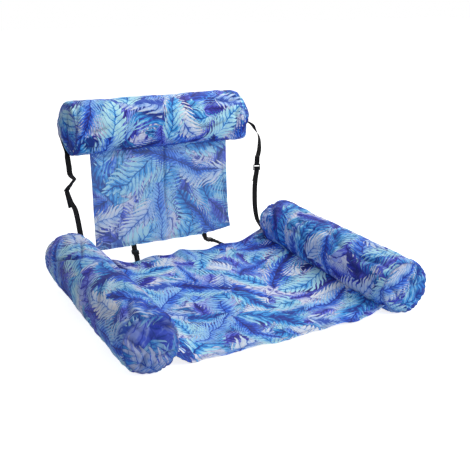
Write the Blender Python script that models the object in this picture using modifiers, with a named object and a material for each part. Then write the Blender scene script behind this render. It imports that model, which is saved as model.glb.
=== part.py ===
# Inflatable pool chair: two arm bolsters, a seat panel and a strapped backrest.
# Metres, +Z up, +Y away from the sitter's feet. The origin is on the floor, at the middle of
# the overall width and depth.

import math

import bmesh
import bpy
from mathutils import Matrix, Vector

# Overall sizes
OVERALL_WIDTH = 1.0
ARM_RADIUS = 0.0872
ARM_LENGTH = 0.787
HEAD_RADIUS = 0.0934
HEAD_LENGTH = 0.725
HEAD_HEIGHT = 0.478
BACK_WIDTH = 0.522
BACK_FOOT_HEIGHT = 0.036
BACK_LEAN_RUN = 0.058
SEAT_OVERHANG = 0.014
TIE_SPAN = 0.0856

# Cloth, air chambers and clearances
CLOTH = 0.0012
PANEL_CLOTH = 0.0022
PVC = 0.0009
CHAMBER_SLACK = 0.0016
GAP = 0.0003
OVERRUN = 0.02
MERGE = 0.00005

# Bolster ends: the seam's radius falls short of the sleeve's, and each end panel is domed
ARM_FRONT_DROP = 0.0085
ARM_FRONT_DOME = 0.020
ARM_FRONT_TURN = 0.030
ARM_REAR_DROP = 0.016
ARM_REAR_DOME = 0.017
ARM_REAR_TURN = 0.052
HEAD_END_DROP = 0.012
HEAD_END_DOME = 0.032
HEAD_END_TURN = 0.030
PUCKER_DEPTH = 0.0022
PUCKER_REACH = 0.045
PUCKERS = 14
FOLD_DEPTH = 0.0016
FLOOR_FLAT = 0.0005
ROUND_SIDES = 28
CHAMBER_SIDES = 20
# The gathers fade in between these two shares of the radius, from below the middle upwards
GATHER_START_SHARE = -0.75
GATHER_SPAN_SHARE = 0.5

# Seat panel. Waves are (share of the height, turns across, turns along, start), in radians.
SEAT_EDGE_DEPTH_SHARE = 0.58
SEAT_RISE_WIDTH = 0.150
SEAT_REAR_RISE_SHARE = 1.3
SEAT_RISE_POWER = 1.5
SEAT_FRONT_INSET = 0.020
SEAT_COLUMNS = 22
SEAT_FOLD = 0.0125
FOLD_FLOOR_SHARE = 0.30
FOLD_SPREAD_SHARE = 0.60
FOLD_WAVES_SHARES = (
    (0.34, 9.0, 5.0, 0.6),
    (0.26, 17.0, -7.0, 1.9),
    (0.22, 6.0, -13.0, 4.0),
)
HEM_GATHER_SHARES = (0.30, 31.0, 1.2)
HEM_FRONT_SHARE = 0.5
HEM_REAR_POWER = 6
HEM_FRONT_POWER = 8
REAR_HUMP = 0.016
REAR_HUMP_X = 0.016
REAR_HUMP_WIDTH = 0.030
REAR_HUMP_POWER = 8

# Back panel
BACK_COLUMNS = 16
BACK_ROWS = 12
BACK_BELLY = 0.010
BACK_PLEAT = 0.0035
PLEAT_TURNS = 44.0
PLEAT_POWER = 4
CORNER_LIFT = 0.022
CORNER_START_SHARE = 0.78
CORNER_POWER = 1.6
CURL_POWER = 5

# Inflation valve
VALVE_BORE = 0.0040
VALVE_STEM = 0.0060
VALVE_HEIGHT = 0.0085
FLANGE_RADIUS = 0.0140
FLANGE_THICK = 0.0010
CHAMBER_HOLE = 0.0075
OPENING_RADIUS = 0.0115
PLUG_DISC = 0.0075
PLUG_THICK = 0.0018
PLUG_LENGTH = 0.0030
FLAP_RADIUS = 0.0055
FLAP_THICK = 0.0007
HINGE_REACH = 0.0082
KNUCKLE_RADIUS = 0.0010
LUG_WIDTH = 0.0050
NECK_THICK_SHARE = 0.6
VALVE_SIDES = 20
FLAP_SIDES = 16

# Webbing and the ladder-lock adjuster
WEB_WIDTH = 0.0195
WEB_THICK = 0.0014
LOCK_WIDTH = 0.0275
LOCK_THICK = 0.0045
LOCK_RAIL = 0.0032
BAR_RADIUS = 0.0016
TOP_BAR_UP = 0.0110
END_BAR_DOWN = 0.0110
LIFT_TAB = 0.0070
TAB_SHARES = (0.8, 0.4, 0.15)
BAR_SIDES = 10
SEWN_BACK = 0.034
SEWN_LENGTH = 0.020
SEAM_EASE = 0.0004
# How far webbing lies from a bar's middle as it passes it, as shares of a layer or of the wrap
PASS_SHARE = 0.6
PASS_HEIGHT_SHARE = 3
LOAD_SHARE = 1.12
TAIL_SHARES = ((0.05, 0.0), (-0.92, 0.9), (-1.0, -0.5), (-1.02, -2.0))
TAIL_FORWARD = 20
TAIL_STEPS = 4
LEVEL_STEPS = 3

# Where each side strap runs, between the head bolster's end and the arm's rear corner. Each
# stop is a share of the way down, then shares of the reach outward and rearward, and the
# heading of the webbing's width from +X towards +Y.
SIDE_STRAPS = {
    "left": {
        "side": -1,
        "upper_share": [
            (0.087, -0.049, 0.052, 70),
            (0.137, -0.043, 0.040, 44),
            (0.212, -0.034, 0.018, 14),
            (0.275, -0.018, -0.030, 8),
        ],
        "bar_share": (0.354, 0.019, -0.089),
        "bar_heading": 35,
        "tilt": 42,
        "lower_share": [
            (0.909, -0.002, -0.011, -12),
            (0.808, -0.002, -0.020, 2),
            (0.685, 0.000, -0.040, 8),
            (0.571, 0.006, -0.049, 12),
            (0.505, 0.028, -0.051, 24),
        ],
        "anchor_heading": -22,
        "tail_swing": 5,
        "tail": 0.058,
    },
    "right": {
        "side": 1,
        "upper_share": [
            (-0.010, 0.073, -0.001, 84),
            (0.053, 0.107, 0.000, 74),
            (0.129, 0.132, -0.006, 62),
            (0.238, 0.122, 0.006, 46),
            (0.300, 0.104, 0.016, 34),
        ],
        "bar_share": (0.402, 0.074, 0.023),
        "bar_heading": 20,
        "tilt": 12,
        "lower_share": [
            (0.980, -0.003, 0.020, 22),
            (0.931, -0.006, 0.058, 16),
            (0.822, 0.001, 0.071, 10),
            (0.685, 0.017, 0.060, 12),
            (0.575, 0.036, 0.047, 16),
        ],
        "anchor_heading": 22,
        "tail_swing": -24,
        "tail": 0.040,
    },
}
# Sewn places on the end panels, from each panel's centre: rearward and down
HEAD_SEWN_BACK = 0.030
HEAD_SEWN_DOWN = 0.024
HEAD_SEWN_END_DOWN = 0.044
ARM_ANCHOR_IN = 0.061
ARM_ANCHOR_DOWN = 0.022

# Side-release buckle of the ties
BUCKLE_WIDTH = 0.0270
BUCKLE_THICK = 0.0092
SOCKET_LENGTH = 0.0250
SOCKET_WALL = 0.0016
WINDOW_LENGTH = 0.0095
WINDOW_START = 0.0065
PRONG_BASE = 0.0100
PRONG_THICK = 0.0042
ARM_THICK = 0.0024
POST_WIDTH = 0.0036
SLOT_LENGTH = 0.0042
SOCKET_BAR_SHARE = 0.6
PRONG_BAR_SHARE = 0.7
POST_THICK_SHARE = 0.8
POST_LENGTH_SHARE = 0.8
BUCKLE_EDGE = 0.0010
# Outline of a sprung arm: how far in from the socket's inner face, in arm thicknesses, and how
# far along, in shares of the shoulder's distance or of the window's length
ARM_ROOT_SHARES = (1.9, 0.9)
ARM_BOW_SHARES = (0.55, 0.55)
BARB_LENGTH_SHARE = 0.55
ARM_TIP_SHARES = (0.3, 1.1, 0.8)
ARM_BACK_SHARES = (1.6, 0.9)

# Ties. x of the seat end and of the back end, which the right-hand one slews between.
TIES = {
    "left": {"seat_x": -0.150, "back_x": -0.130},
    "right": {"seat_x": 0.202, "back_x": 0.158},
}
TIE_HEIGHT = 0.0165
TIE_SLOPE = 2.0
TIE_CLEARANCE = 0.0065
TIE_SEWN = 0.014
TIE_TURN = 0.0022
TIE_LAY_SHARE = 0.55
SEAT_WRAP_ANGLES = (-10, 190)
BACK_WRAP_ANGLES = (70, -250)
BACK_HEM = 0.030
BACK_HEM_SHARES = (1.0, 0.55, 0.12)
WEB_WIDTH_SHARES = (-0.5, -0.25, 0.0, 0.25, 0.5)

# Colours and finishes
PRINT_BLUE = (0.055, 0.19, 0.66, 1.0)
PANEL_BLUE = (0.08, 0.30, 0.72, 1.0)
CAP_BLUE = (0.10, 0.16, 0.55, 1.0)
CHAMBER_BLUE = (0.62, 0.76, 0.86, 1.0)
VALVE_CLEAR = (0.80, 0.84, 0.87, 1.0)
WEB_BLACK = (0.010, 0.010, 0.012, 1.0)
PLASTIC_BLACK = (0.014, 0.014, 0.016, 1.0)
CLOTH_ROUGHNESS = 0.75
CHAMBER_ROUGHNESS = 0.30
VALVE_ROUGHNESS = 0.25
WEB_ROUGHNESS = 0.80
PLASTIC_ROUGHNESS = 0.38
SMOOTH_ANGLE = 40

# Derived places
SEAT_DEPTH = ARM_LENGTH + SEAT_OVERHANG
OVERALL_DEPTH = SEAT_DEPTH + TIE_SPAN + BACK_LEAN_RUN + HEAD_RADIUS
ARM_X = OVERALL_WIDTH / 2 - ARM_RADIUS
ARM_AXIS_Z = ARM_RADIUS - FLOOR_FLAT
FRONT_Y = -OVERALL_DEPTH / 2
ARM_REAR_Y = FRONT_Y + ARM_LENGTH
HEAD_Y = OVERALL_DEPTH / 2 - HEAD_RADIUS
BACK_TOP = HEAD_HEIGHT - HEAD_RADIUS
HINGE_Y = HEAD_Y - BACK_LEAN_RUN
HINGE_Z = BACK_FOOT_HEIGHT
HEAD_HALF = HEAD_LENGTH / 2
WRAP = BAR_RADIUS + GAP + WEB_THICK / 2
LAYER = WEB_THICK + GAP


# Scene set-up
for old in list(bpy.data.objects):
    bpy.data.objects.remove(old, do_unlink=True)

chair = bpy.data.collections.new("inflatable_pool_chair")
cutters = bpy.data.collections.new("cutters")
bpy.context.scene.collection.children.link(chair)
bpy.context.scene.collection.children.link(cutters)


def material(name, colour, roughness, metallic=0.0):
    """A plain Principled material."""
    made = bpy.data.materials.new(name)
    made.use_nodes = True
    shader = made.node_tree.nodes["Principled BSDF"]
    shader.inputs["Base Color"].default_value = colour
    shader.inputs["Roughness"].default_value = roughness
    shader.inputs["Metallic"].default_value = metallic
    made.diffuse_color = colour
    return made


print_cloth = material("printed_polyester", PRINT_BLUE, CLOTH_ROUGHNESS)
panel_cloth = material("printed_panel", PANEL_BLUE, CLOTH_ROUGHNESS)
cap_cloth = material("printed_end_panel", CAP_BLUE, CLOTH_ROUGHNESS)
chamber_vinyl = material("chamber_vinyl", CHAMBER_BLUE, CHAMBER_ROUGHNESS)
valve_vinyl = material("valve_vinyl", VALVE_CLEAR, VALVE_ROUGHNESS)
webbing = material("black_webbing", WEB_BLACK, WEB_ROUGHNESS)
plastic = material("black_acetal", PLASTIC_BLACK, PLASTIC_ROUGHNESS)


def add_object(name, mesh, finish, place=None):
    """A named piece in the chair's collection, placed by a matrix."""
    piece = bpy.data.objects.new(name, mesh)
    piece.data.materials.clear()
    piece.data.materials.append(finish)
    chair.objects.link(piece)
    if place is not None:
        piece.matrix_world = place
    return piece


def shade_round(mesh):
    mesh.shade_smooth()
    mesh.set_sharp_from_angle(angle=math.radians(SMOOTH_ANGLE))


def settled(piece):
    """The piece's evaluated mesh, free of its modifiers and cutters."""
    bpy.context.view_layer.update()
    graph = bpy.context.evaluated_depsgraph_get()
    mesh = bpy.data.meshes.new_from_object(piece.evaluated_get(graph))
    used = [m.object for m in piece.modifiers if m.type == "BOOLEAN"]
    bpy.data.objects.remove(piece, do_unlink=True)
    for tool in used:
        bpy.data.objects.remove(tool, do_unlink=True)
    return mesh


def helper(name, bm, place=None):
    """A cutter or a blank, kept out of the finished chair."""
    mesh = bpy.data.meshes.new(name)
    bm.to_mesh(mesh)
    bm.free()
    tool = bpy.data.objects.new(name, mesh)
    cutters.objects.link(tool)
    tool.hide_render = True
    tool.display_type = "WIRE"
    if place is not None:
        tool.matrix_world = place
    return tool


def block(size, centre, edge=0.0):
    """A box as a bmesh, its edges rounded by the width given."""
    bm = bmesh.new()
    bmesh.ops.create_cube(bm, size=1.0)
    bmesh.ops.scale(bm, vec=Vector(size), verts=bm.verts)
    bmesh.ops.translate(bm, vec=Vector(centre), verts=bm.verts)
    if edge > 0:
        bmesh.ops.bevel(
            bm,
            geom=bm.edges[:],
            offset=edge,
            segments=1,
            profile=0.5,
            affect="EDGES",
            material=-1,
        )
    return bm


def rod(radius, length, centre, along="X", sides=12):
    """A cylinder as a bmesh, along one axis."""
    bm = bmesh.new()
    bmesh.ops.create_cone(
        bm, cap_ends=True, segments=sides, radius1=radius, radius2=radius, depth=length
    )
    turn = {
        "X": Matrix.Rotation(math.radians(90), 3, "Y"),
        "Y": Matrix.Rotation(math.radians(-90), 3, "X"),
        "Z": Matrix.Identity(3),
    }[along]
    bmesh.ops.rotate(bm, matrix=turn, verts=bm.verts)
    bmesh.ops.translate(bm, vec=Vector(centre), verts=bm.verts)
    return bm


def boolean(piece, tool, operation):
    modifier = piece.modifiers.new(operation.lower(), "BOOLEAN")
    modifier.operation = operation
    modifier.solver = "EXACT"
    modifier.object = tool
    return modifier


def formed_sheet(name, across, along, shape, thickness, offset=-1.0):
    """A grid bent to shape(u, v), with u and v from 0 to 1, and given a thickness."""
    bm = bmesh.new()
    bmesh.ops.create_grid(bm, x_segments=across, y_segments=along, size=0.5)
    for vert in bm.verts:
        vert.co = shape(vert.co.x + 0.5, vert.co.y + 0.5)
    bmesh.ops.remove_doubles(bm, verts=bm.verts, dist=MERGE)
    bmesh.ops.recalc_face_normals(bm, faces=bm.faces)
    mesh = bpy.data.meshes.new(name)
    bm.to_mesh(mesh)
    bm.free()
    sheet = bpy.data.objects.new(name, mesh)
    cutters.objects.link(sheet)
    solid = sheet.modifiers.new("wall", "SOLIDIFY")
    solid.thickness = thickness
    solid.offset = offset
    solid.use_even_offset = True
    return sheet


def turned(name, profile, sides):
    """A closed profile of (radius, height) turned round Z."""
    bm = bmesh.new()
    rim = [bm.verts.new((radius, 0.0, height)) for radius, height in profile]
    for start, end in zip(rim, rim[1:] + rim[:1]):
        bm.edges.new((start, end))
    bmesh.ops.spin(
        bm,
        geom=bm.verts[:] + bm.edges[:],
        cent=(0.0, 0.0, 0.0),
        axis=(0.0, 0.0, 1.0),
        angle=math.tau,
        steps=sides,
        use_merge=True,
    )
    bmesh.ops.remove_doubles(bm, verts=bm.verts, dist=MERGE)
    bmesh.ops.recalc_face_normals(bm, faces=bm.faces)
    return helper(name, bm)


# Bolsters. Each is worked out along its own +Y, its closed end at 0 and its valve end at its
# length. The first end's sizes come first in each pair.
def end_station(share, drop, dome, turn, radius):
    """(radius, distance in from the end) for a share of the end: 0 the pole, 1 the seam, 2 the sleeve."""
    seam = radius - drop
    if share <= 1.0:
        return seam * share, dome * share**2
    sweep = (share - 1.0) * math.pi / 2
    return seam + drop * math.sin(sweep), dome + turn * (1.0 - math.cos(sweep))


def lift_at(sine):
    """The cloth is smooth underneath, where it is pressed flat, and gathered above."""
    return min(max((sine - GATHER_START_SHARE) / GATHER_SPAN_SHARE, 0.0), 1.0)


def pucker(angle, reach):
    """How far gathered cloth stands proud, at an angle round the sleeve and a reach from the seam."""
    lift = lift_at(math.sin(angle))
    gathers = PUCKER_DEPTH * (1 + math.cos(PUCKERS * angle)) / 2
    lazy = FOLD_DEPTH * (1 + math.sin(3 * angle + reach / PUCKER_REACH)) / 2
    fade = math.exp(-((reach / PUCKER_REACH) ** 2))
    return lift * (gathers * fade + lazy * (1 - fade))


class Bolster:
    """Sizes and outline of one inflated bolster."""

    def __init__(self, radius, length, first, last):
        self.radius = radius
        self.length = length
        self.first = first
        self.last = last

    def radius_at(self, y):
        """Radius of the smooth sleeve at a place along it."""
        for inward, (drop, dome, turn) in ((y, self.first), (self.length - y, self.last)):
            if inward < dome + turn:
                rise = max(inward - dome, 0.0) / turn
                return self.radius - drop + drop * math.sqrt(max(1 - (1 - rise) ** 2, 0.0))
        return self.radius

    def ring_places(self, middle_rings=5, turn_rings=3):
        """Places along the sleeve of its rings of points, from one seam to the other."""
        places = []
        for n in range(turn_rings):
            places.append(end_station(1 + n / turn_rings, *self.first, self.radius)[1])
        start = self.first[1] + self.first[2]
        end = self.length - self.last[1] - self.last[2]
        places += [start + (end - start) * n / middle_rings for n in range(middle_rings + 1)]
        for n in range(1, turn_rings + 1):
            places.append(self.length - end_station(2 - n / turn_rings, *self.last, self.radius)[1])
        return places

    def panel_in(self, radius):
        """How far in from the last end the end panel's outer face lies, at a radius on it."""
        return self.end_at(radius) * (1 - (CLOTH + GAP) / self.last[1])

    def end_at(self, radius):
        """How far in from the last end the smooth dome lies, at a radius on it."""
        drop, dome, _ = self.last
        return dome * (radius / (self.radius - drop)) ** 2

    def station(self, inward, end, angle, proud=True):
        """A point of the outer face, by its share of one end and the angle round it."""
        sizes = self.last if end else self.first
        radius, y = end_station(inward, *sizes, self.radius)
        if proud:
            fade = min(inward, 1.0) ** 6
            radius += fade * pucker(angle, max(inward - 1.0, 0.0) * sizes[2])
        return self.point(radius, self.length - y if end else y, angle)

    @staticmethod
    def point(radius, y, angle):
        return Vector((radius * math.cos(angle), y, radius * math.sin(angle)))


def sleeve(name, form):
    """The cloth tube between the two seams."""
    rings = form.ring_places()

    def shape(u, v):
        y = rings[round(v * (len(rings) - 1))]
        angle = math.tau * round(u * ROUND_SIDES) / ROUND_SIDES
        reach = min(y - form.first[1], form.length - form.last[1] - y)
        return form.point(form.radius_at(y) + pucker(angle, reach), y, angle)

    return settled(formed_sheet(name, ROUND_SIDES, len(rings) - 1, shape, CLOTH))


def end_panel(name, form, end, opening=0.0, rings=3):
    """A round end panel, just outside its sleeve's seam edge, with a hole where the valve comes."""
    sizes = form.last if end else form.first
    seam = form.radius - sizes[0]
    outward = CLOTH + GAP
    away = 1.0 if end else -1.0

    def shape(u, v):
        angle = math.tau * round(u * ROUND_SIDES) / ROUND_SIDES
        inner = opening / seam
        share = inner + (1.0 - inner) * v
        spot = form.station(share, end, angle)
        spot.y += away * outward * v**2
        return spot

    mesh = settled(formed_sheet(name, ROUND_SIDES, rings, shape, CLOTH))
    shade_round(mesh)
    return mesh


def chamber(name, form, rings=2):
    """The thin air chamber inside a cover, open where its valve is welded in."""
    inset = CLOTH + GAP + CHAMBER_SLACK
    seat = valve_seat(form)
    first = (form.first[0], form.first[1], form.first[2])
    last = (form.last[0], form.last[1], form.last[2])
    inner = Bolster(form.radius - inset, seat - GAP - inset, first, last)
    inner.length += inner.end_at(FLANGE_RADIUS)
    stations = [(0, 2 * n / (2 * rings)) for n in range(2 * rings + 1)]
    stations += [(1, 2 - 2 * n / (2 * rings)) for n in range(2 * rings + 1)]
    hole = CHAMBER_HOLE / (inner.radius - last[0])

    def shape(u, v):
        end, share = stations[round(v * (len(stations) - 1))]
        angle = math.tau * round(u * CHAMBER_SIDES) / CHAMBER_SIDES
        if end:
            share = max(share, hole)
        spot = inner.station(share, end, angle, proud=False)
        spot.y += inset
        if end:
            # the welded seat round the hole is flat
            spot.y = min(spot.y, inset + inner.length - inner.end_at(FLANGE_RADIUS))
        return spot

    return settled(formed_sheet(name, CHAMBER_SIDES, len(stations) - 1, shape, PVC))


def valve_seat(form):
    """Where the valve's flange lies along a bolster: its inner face."""
    panel_inside = form.length - form.end_at(FLANGE_RADIUS) - CLOTH
    return panel_inside - GAP - FLANGE_THICK


def valve_meshes():
    """The valve, its plug and its one-way flap, each about its own origin, with +Z outwards."""
    stem = [
        (VALVE_BORE, 0.0),
        (FLANGE_RADIUS, 0.0),
        (FLANGE_RADIUS, FLANGE_THICK),
        (VALVE_STEM, FLANGE_THICK),
        (VALVE_STEM, VALVE_HEIGHT),
        (VALVE_BORE, VALVE_HEIGHT),
    ]
    body = turned("valve_blank", stem, VALVE_SIDES)
    knuckle_z = VALVE_HEIGHT + GAP + PLUG_THICK / 2
    lug_top = knuckle_z - KNUCKLE_RADIUS - GAP
    lug_foot = lug_top - 3 * KNUCKLE_RADIUS
    lug_in = (VALVE_STEM + VALVE_BORE) / 2
    lug_out = HINGE_REACH + KNUCKLE_RADIUS
    lug = block(
        (LUG_WIDTH, lug_out - lug_in, lug_top - lug_foot),
        (0.0, (lug_out + lug_in) / 2, (lug_top + lug_foot) / 2),
    )
    boolean(body, helper("lug", lug), "UNION")
    valve = settled(body)

    # the plug turns about its knuckle, so its origin is there
    disc_z = -PLUG_THICK / 2
    taper = PLUG_LENGTH / 3
    plug = [
        (0.0, disc_z - PLUG_LENGTH),
        (VALVE_BORE - GAP - taper, disc_z - PLUG_LENGTH),
        (VALVE_BORE - GAP - GAP, disc_z),
        (PLUG_DISC, disc_z),
        (PLUG_DISC, disc_z + PLUG_THICK),
        (0.0, disc_z + PLUG_THICK),
    ]
    blank = turned("plug_blank", plug, VALVE_SIDES)
    knuckle = rod(KNUCKLE_RADIUS, LUG_WIDTH, (0.0, HINGE_REACH, 0.0))
    neck = block(
        (LUG_WIDTH, HINGE_REACH - PLUG_DISC + KNUCKLE_RADIUS, PLUG_THICK * NECK_THICK_SHARE),
        (0.0, (HINGE_REACH + PLUG_DISC - KNUCKLE_RADIUS) / 2, 0.0),
    )
    boolean(blank, helper("knuckle", knuckle), "UNION")
    boolean(blank, helper("neck", neck), "UNION")
    cap = settled(blank)
    cap.transform(Matrix.Translation((0.0, -HINGE_REACH, 0.0)))

    # the flap hangs from its edge, just inside the flange
    disc = rod(FLAP_RADIUS, FLAP_THICK, (0.0, -FLAP_RADIUS, -FLAP_THICK / 2), "Z", FLAP_SIDES)
    flap = settled(helper("flap_blank", disc))
    for mesh in (valve, cap, flap):
        shade_round(mesh)
    return valve, cap, flap, knuckle_z


valve_mesh, cap_mesh, flap_mesh, VALVE_KNUCKLE_Z = valve_meshes()


def add_bolster(prefix, form, place, names):
    """Every piece of one bolster, set down by a matrix from its own frame."""
    sleeve_mesh = sleeve(prefix + "_cover", form)
    shade_round(sleeve_mesh)
    cover = add_object(prefix + "_cover", sleeve_mesh, print_cloth, place)
    first = end_panel(prefix + "_first", form, 0)
    add_object(names[0], first, cap_cloth, place)
    last = end_panel(prefix + "_last", form, 1, OPENING_RADIUS)
    add_object(names[1], last, cap_cloth, place)
    inner = chamber(prefix + "_bladder", form)
    shade_round(inner)
    add_object(prefix + "_bladder", inner, chamber_vinyl, place)

    # the valve's own +Z is the bolster's +Y, and its hinge side is up
    seat = Matrix.Translation((0.0, valve_seat(form), 0.0))
    stand = place @ seat @ Matrix.Rotation(math.radians(-90), 4, "X")
    stand = stand @ Matrix.Rotation(math.radians(180), 4, "Z")
    add_object(prefix + "_valve", valve_mesh.copy(), valve_vinyl, stand)
    at_hinge = stand @ Matrix.Translation((0.0, HINGE_REACH, VALVE_KNUCKLE_Z))
    add_object(prefix + "_valve_cap", cap_mesh.copy(), valve_vinyl, at_hinge)
    at_edge = stand @ Matrix.Translation((0.0, FLAP_RADIUS, -GAP))
    add_object(prefix + "_valve_flap", flap_mesh.copy(), valve_vinyl, at_edge)
    return cover


arm_form = Bolster(
    ARM_RADIUS,
    ARM_LENGTH,
    (ARM_FRONT_DROP, ARM_FRONT_DOME, ARM_FRONT_TURN),
    (ARM_REAR_DROP, ARM_REAR_DOME, ARM_REAR_TURN),
)
head_form = Bolster(
    HEAD_RADIUS,
    HEAD_LENGTH,
    (HEAD_END_DROP, HEAD_END_DOME, HEAD_END_TURN),
    (HEAD_END_DROP, HEAD_END_DOME, HEAD_END_TURN),
)

# Arms. Each lies on the floor, its cover cut flat where it rests.
for side, name in ((-1, "left"), (1, "right")):
    lie = Matrix.Translation((side * ARM_X, FRONT_Y, ARM_RADIUS - FLOOR_FLAT))
    arm = add_bolster(
        name + "_arm", arm_form, lie, (name + "_arm_front_cap", name + "_arm_rear_cap")
    )
    floor = block(
        (2 * ARM_RADIUS, ARM_LENGTH, OVERRUN),
        (0.0, ARM_LENGTH / 2, -ARM_RADIUS + FLOOR_FLAT - OVERRUN / 2),
    )
    boolean(arm, helper(name + "_floor", floor, lie), "DIFFERENCE")

# Headrest. It lies along X, its valve at the right-hand end.
across = Matrix.Translation((-HEAD_HALF, HEAD_Y, HEAD_HEIGHT))
across = across @ Matrix.Rotation(math.radians(-90), 4, "Z")
add_bolster("headrest", head_form, across, ("headrest_left_cap", "headrest_right_cap"))


# Seat panel. It lies on the floor between the arms and rises to each arm's inner side.
def seat_rows():
    """Places along the arm where the seat has a row of points: the arm's own rings, and its ends."""
    rings = arm_form.ring_places()
    rows = [SEAT_FRONT_INSET]
    for here, after in zip(rings, rings[1:] + [None]):
        rows.append(here)
        if after is not None and after - here > arm_form.last[2]:
            rows.append((here + after) / 2)
    return rows + [SEAT_DEPTH]


def seat_folds(s, t):
    """Height of the slack cloth's folds. s runs from the left arm to the right, t from front to rear."""
    waves = 0.0
    for height, across, along, start in FOLD_WAVES_SHARES:
        waves += height * math.sin(across * s + along * t + start)
    height, across, start = HEM_GATHER_SHARES
    at_hems = t**HEM_REAR_POWER + HEM_FRONT_SHARE * (1 - t) ** HEM_FRONT_POWER
    gathers = height * math.cos(across * s + start) * at_hems
    hush = math.sqrt(math.sin(math.pi * s))
    return SEAT_FOLD * hush * max(FOLD_FLOOR_SHARE + FOLD_SPREAD_SHARE * waves + gathers, 0.0)


def seat_edge(y):
    """(x, z) of the seat's edge where it is sewn to the right arm, at a place along the arm."""
    proud = lift_at(-SEAT_EDGE_DEPTH_SHARE) * max(PUCKER_DEPTH, FOLD_DEPTH) / 2
    along_arm = min(max(y, arm_form.first[1]), ARM_LENGTH - arm_form.last[1])
    reach = arm_form.radius_at(along_arm) + proud + GAP + PANEL_CLOTH / 2
    return (
        ARM_X - reach * math.sqrt(1 - SEAT_EDGE_DEPTH_SHARE**2),
        ARM_AXIS_Z - reach * SEAT_EDGE_DEPTH_SHARE,
    )


def seat_spot(x, y):
    """The middle of the cloth above a place on the floor, y measured along the arm."""
    half, edge_z = seat_edge(y)
    u = (x + half) / (2 * half)
    v = (y - SEAT_FRONT_INSET) / (SEAT_DEPTH - SEAT_FRONT_INSET)
    rise_width = SEAT_RISE_WIDTH * (1 + (SEAT_REAR_RISE_SHARE - 1) * v)
    inward = min(half - abs(x), rise_width) / rise_width
    low = PANEL_CLOTH / 2 + GAP
    rise = (edge_z - low) * (1 - math.sin(inward * math.pi / 2)) ** SEAT_RISE_POWER
    hump = REAR_HUMP * math.exp(-(((x - REAR_HUMP_X) / REAR_HUMP_WIDTH) ** 2))
    hump *= max(v, 0.0) ** REAR_HUMP_POWER
    return Vector((x, FRONT_Y + y, low + rise + hump + seat_folds(u, v)))


def seat_shape(u, v):
    rows = seat_rows()
    y = rows[round(v * (len(rows) - 1))]
    half = seat_edge(y)[0]
    return seat_spot(-half + 2 * half * u, y)


seat_sheet = formed_sheet(
    "seat", SEAT_COLUMNS, len(seat_rows()) - 1, seat_shape, PANEL_CLOTH, 0.0
)
seat_mesh = settled(seat_sheet)
shade_round(seat_mesh)
add_object("seat_panel", seat_mesh, panel_cloth)


# Back panel. It leans from the hinge line up to the head bolster's underside.
def back_shape(u, v):
    x = (u - 0.5) * BACK_WIDTH
    lift = max(u - CORNER_START_SHARE, 0.0) / (1 - CORNER_START_SHARE)
    foot = HINGE_Z + CORNER_LIFT * lift**CORNER_POWER
    top = BACK_TOP - GAP - FLOOR_FLAT
    z = foot + (top - foot) * v
    height = (z - HINGE_Z) / (top - HINGE_Z)
    y = HINGE_Y + BACK_LEAN_RUN * height
    y += BACK_BELLY * math.sin(math.pi * v) * math.sin(math.pi * u)
    y += BACK_PLEAT * math.cos(PLEAT_TURNS * u) * (1 - v) ** PLEAT_POWER * math.sin(math.pi * u)
    y -= CORNER_LIFT * lift**2 * (1 - v) ** CURL_POWER
    return Vector((x, y, z))


back_sheet = formed_sheet("back", BACK_COLUMNS, BACK_ROWS, back_shape, PANEL_CLOTH, 0.0)
back_mesh = settled(back_sheet)
shade_round(back_mesh)
add_object("back_panel", back_mesh, panel_cloth)


# Webbing. A route is a list of (point, width direction), and the strap follows it smoothly.
def smooth_route(stops, steps):
    """Points and width directions on a Catmull-Rom curve through the stops."""
    made = []
    for n in range(len(stops) - 1):
        before = stops[max(n - 1, 0)]
        start, end = stops[n], stops[n + 1]
        after = stops[min(n + 2, len(stops) - 1)]
        for step in range(steps + (n == len(stops) - 2)):
            t = step / steps
            pair = []
            for k in (0, 1):
                a, b, c, d = before[k], start[k], end[k], after[k]
                pair.append(
                    0.5
                    * (
                        2 * b
                        + (c - a) * t
                        + (2 * a - 5 * b + 4 * c - d) * t**2
                        + (3 * b - a - 3 * c + d) * t**3
                    )
                )
            made.append((pair[0], pair[1].normalized()))
    return made


def strap_mesh(name, route, width=WEB_WIDTH, thick=WEB_THICK):
    """Webbing along a route: one edge across the strap, extruded from point to point."""
    bm = bmesh.new()
    spot, across_web = route[0]
    ends = [bm.verts.new(spot + across_web * width / 2 * hand) for hand in (-1, 1)]
    edge = bm.edges.new(ends)
    for spot, across_web in route[1:]:
        grown = bmesh.ops.extrude_edge_only(bm, edges=[edge])["geom"]
        edge = [g for g in grown if isinstance(g, bmesh.types.BMEdge)][0]
        fresh = [g for g in grown if isinstance(g, bmesh.types.BMVert)]
        for vert in fresh:
            hand = 1 if (vert.co - middle_of(ends)).dot(ends[1].co - ends[0].co) > 0 else -1
            vert.co = spot + across_web * width / 2 * hand
        fresh.sort(key=lambda vert: (vert.co - spot).dot(across_web))
        ends = fresh
    bmesh.ops.recalc_face_normals(bm, faces=bm.faces)
    mesh = bpy.data.meshes.new(name)
    bm.to_mesh(mesh)
    bm.free()
    strip = bpy.data.objects.new(name, mesh)
    cutters.objects.link(strip)
    solid = strip.modifiers.new("thickness", "SOLIDIFY")
    solid.thickness = thick
    solid.offset = 0.0
    solid.use_even_offset = True
    return settled(strip)


def middle_of(verts):
    return (verts[0].co + verts[1].co) / 2


def frame_of(origin, along, across_hint):
    """A matrix whose X is the bar's direction and whose Z is along the strap, upwards."""
    z = along.normalized()
    x = (across_hint - across_hint.dot(z) * z).normalized()
    y = z.cross(x)
    turned_to = Matrix((x, y, z)).transposed().to_4x4()
    return Matrix.Translation(origin) @ turned_to


def heading(degrees):
    """A level direction, by its angle from +X towards +Y."""
    angle = math.radians(degrees)
    return Vector((math.cos(angle), math.sin(angle), 0.0))


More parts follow.
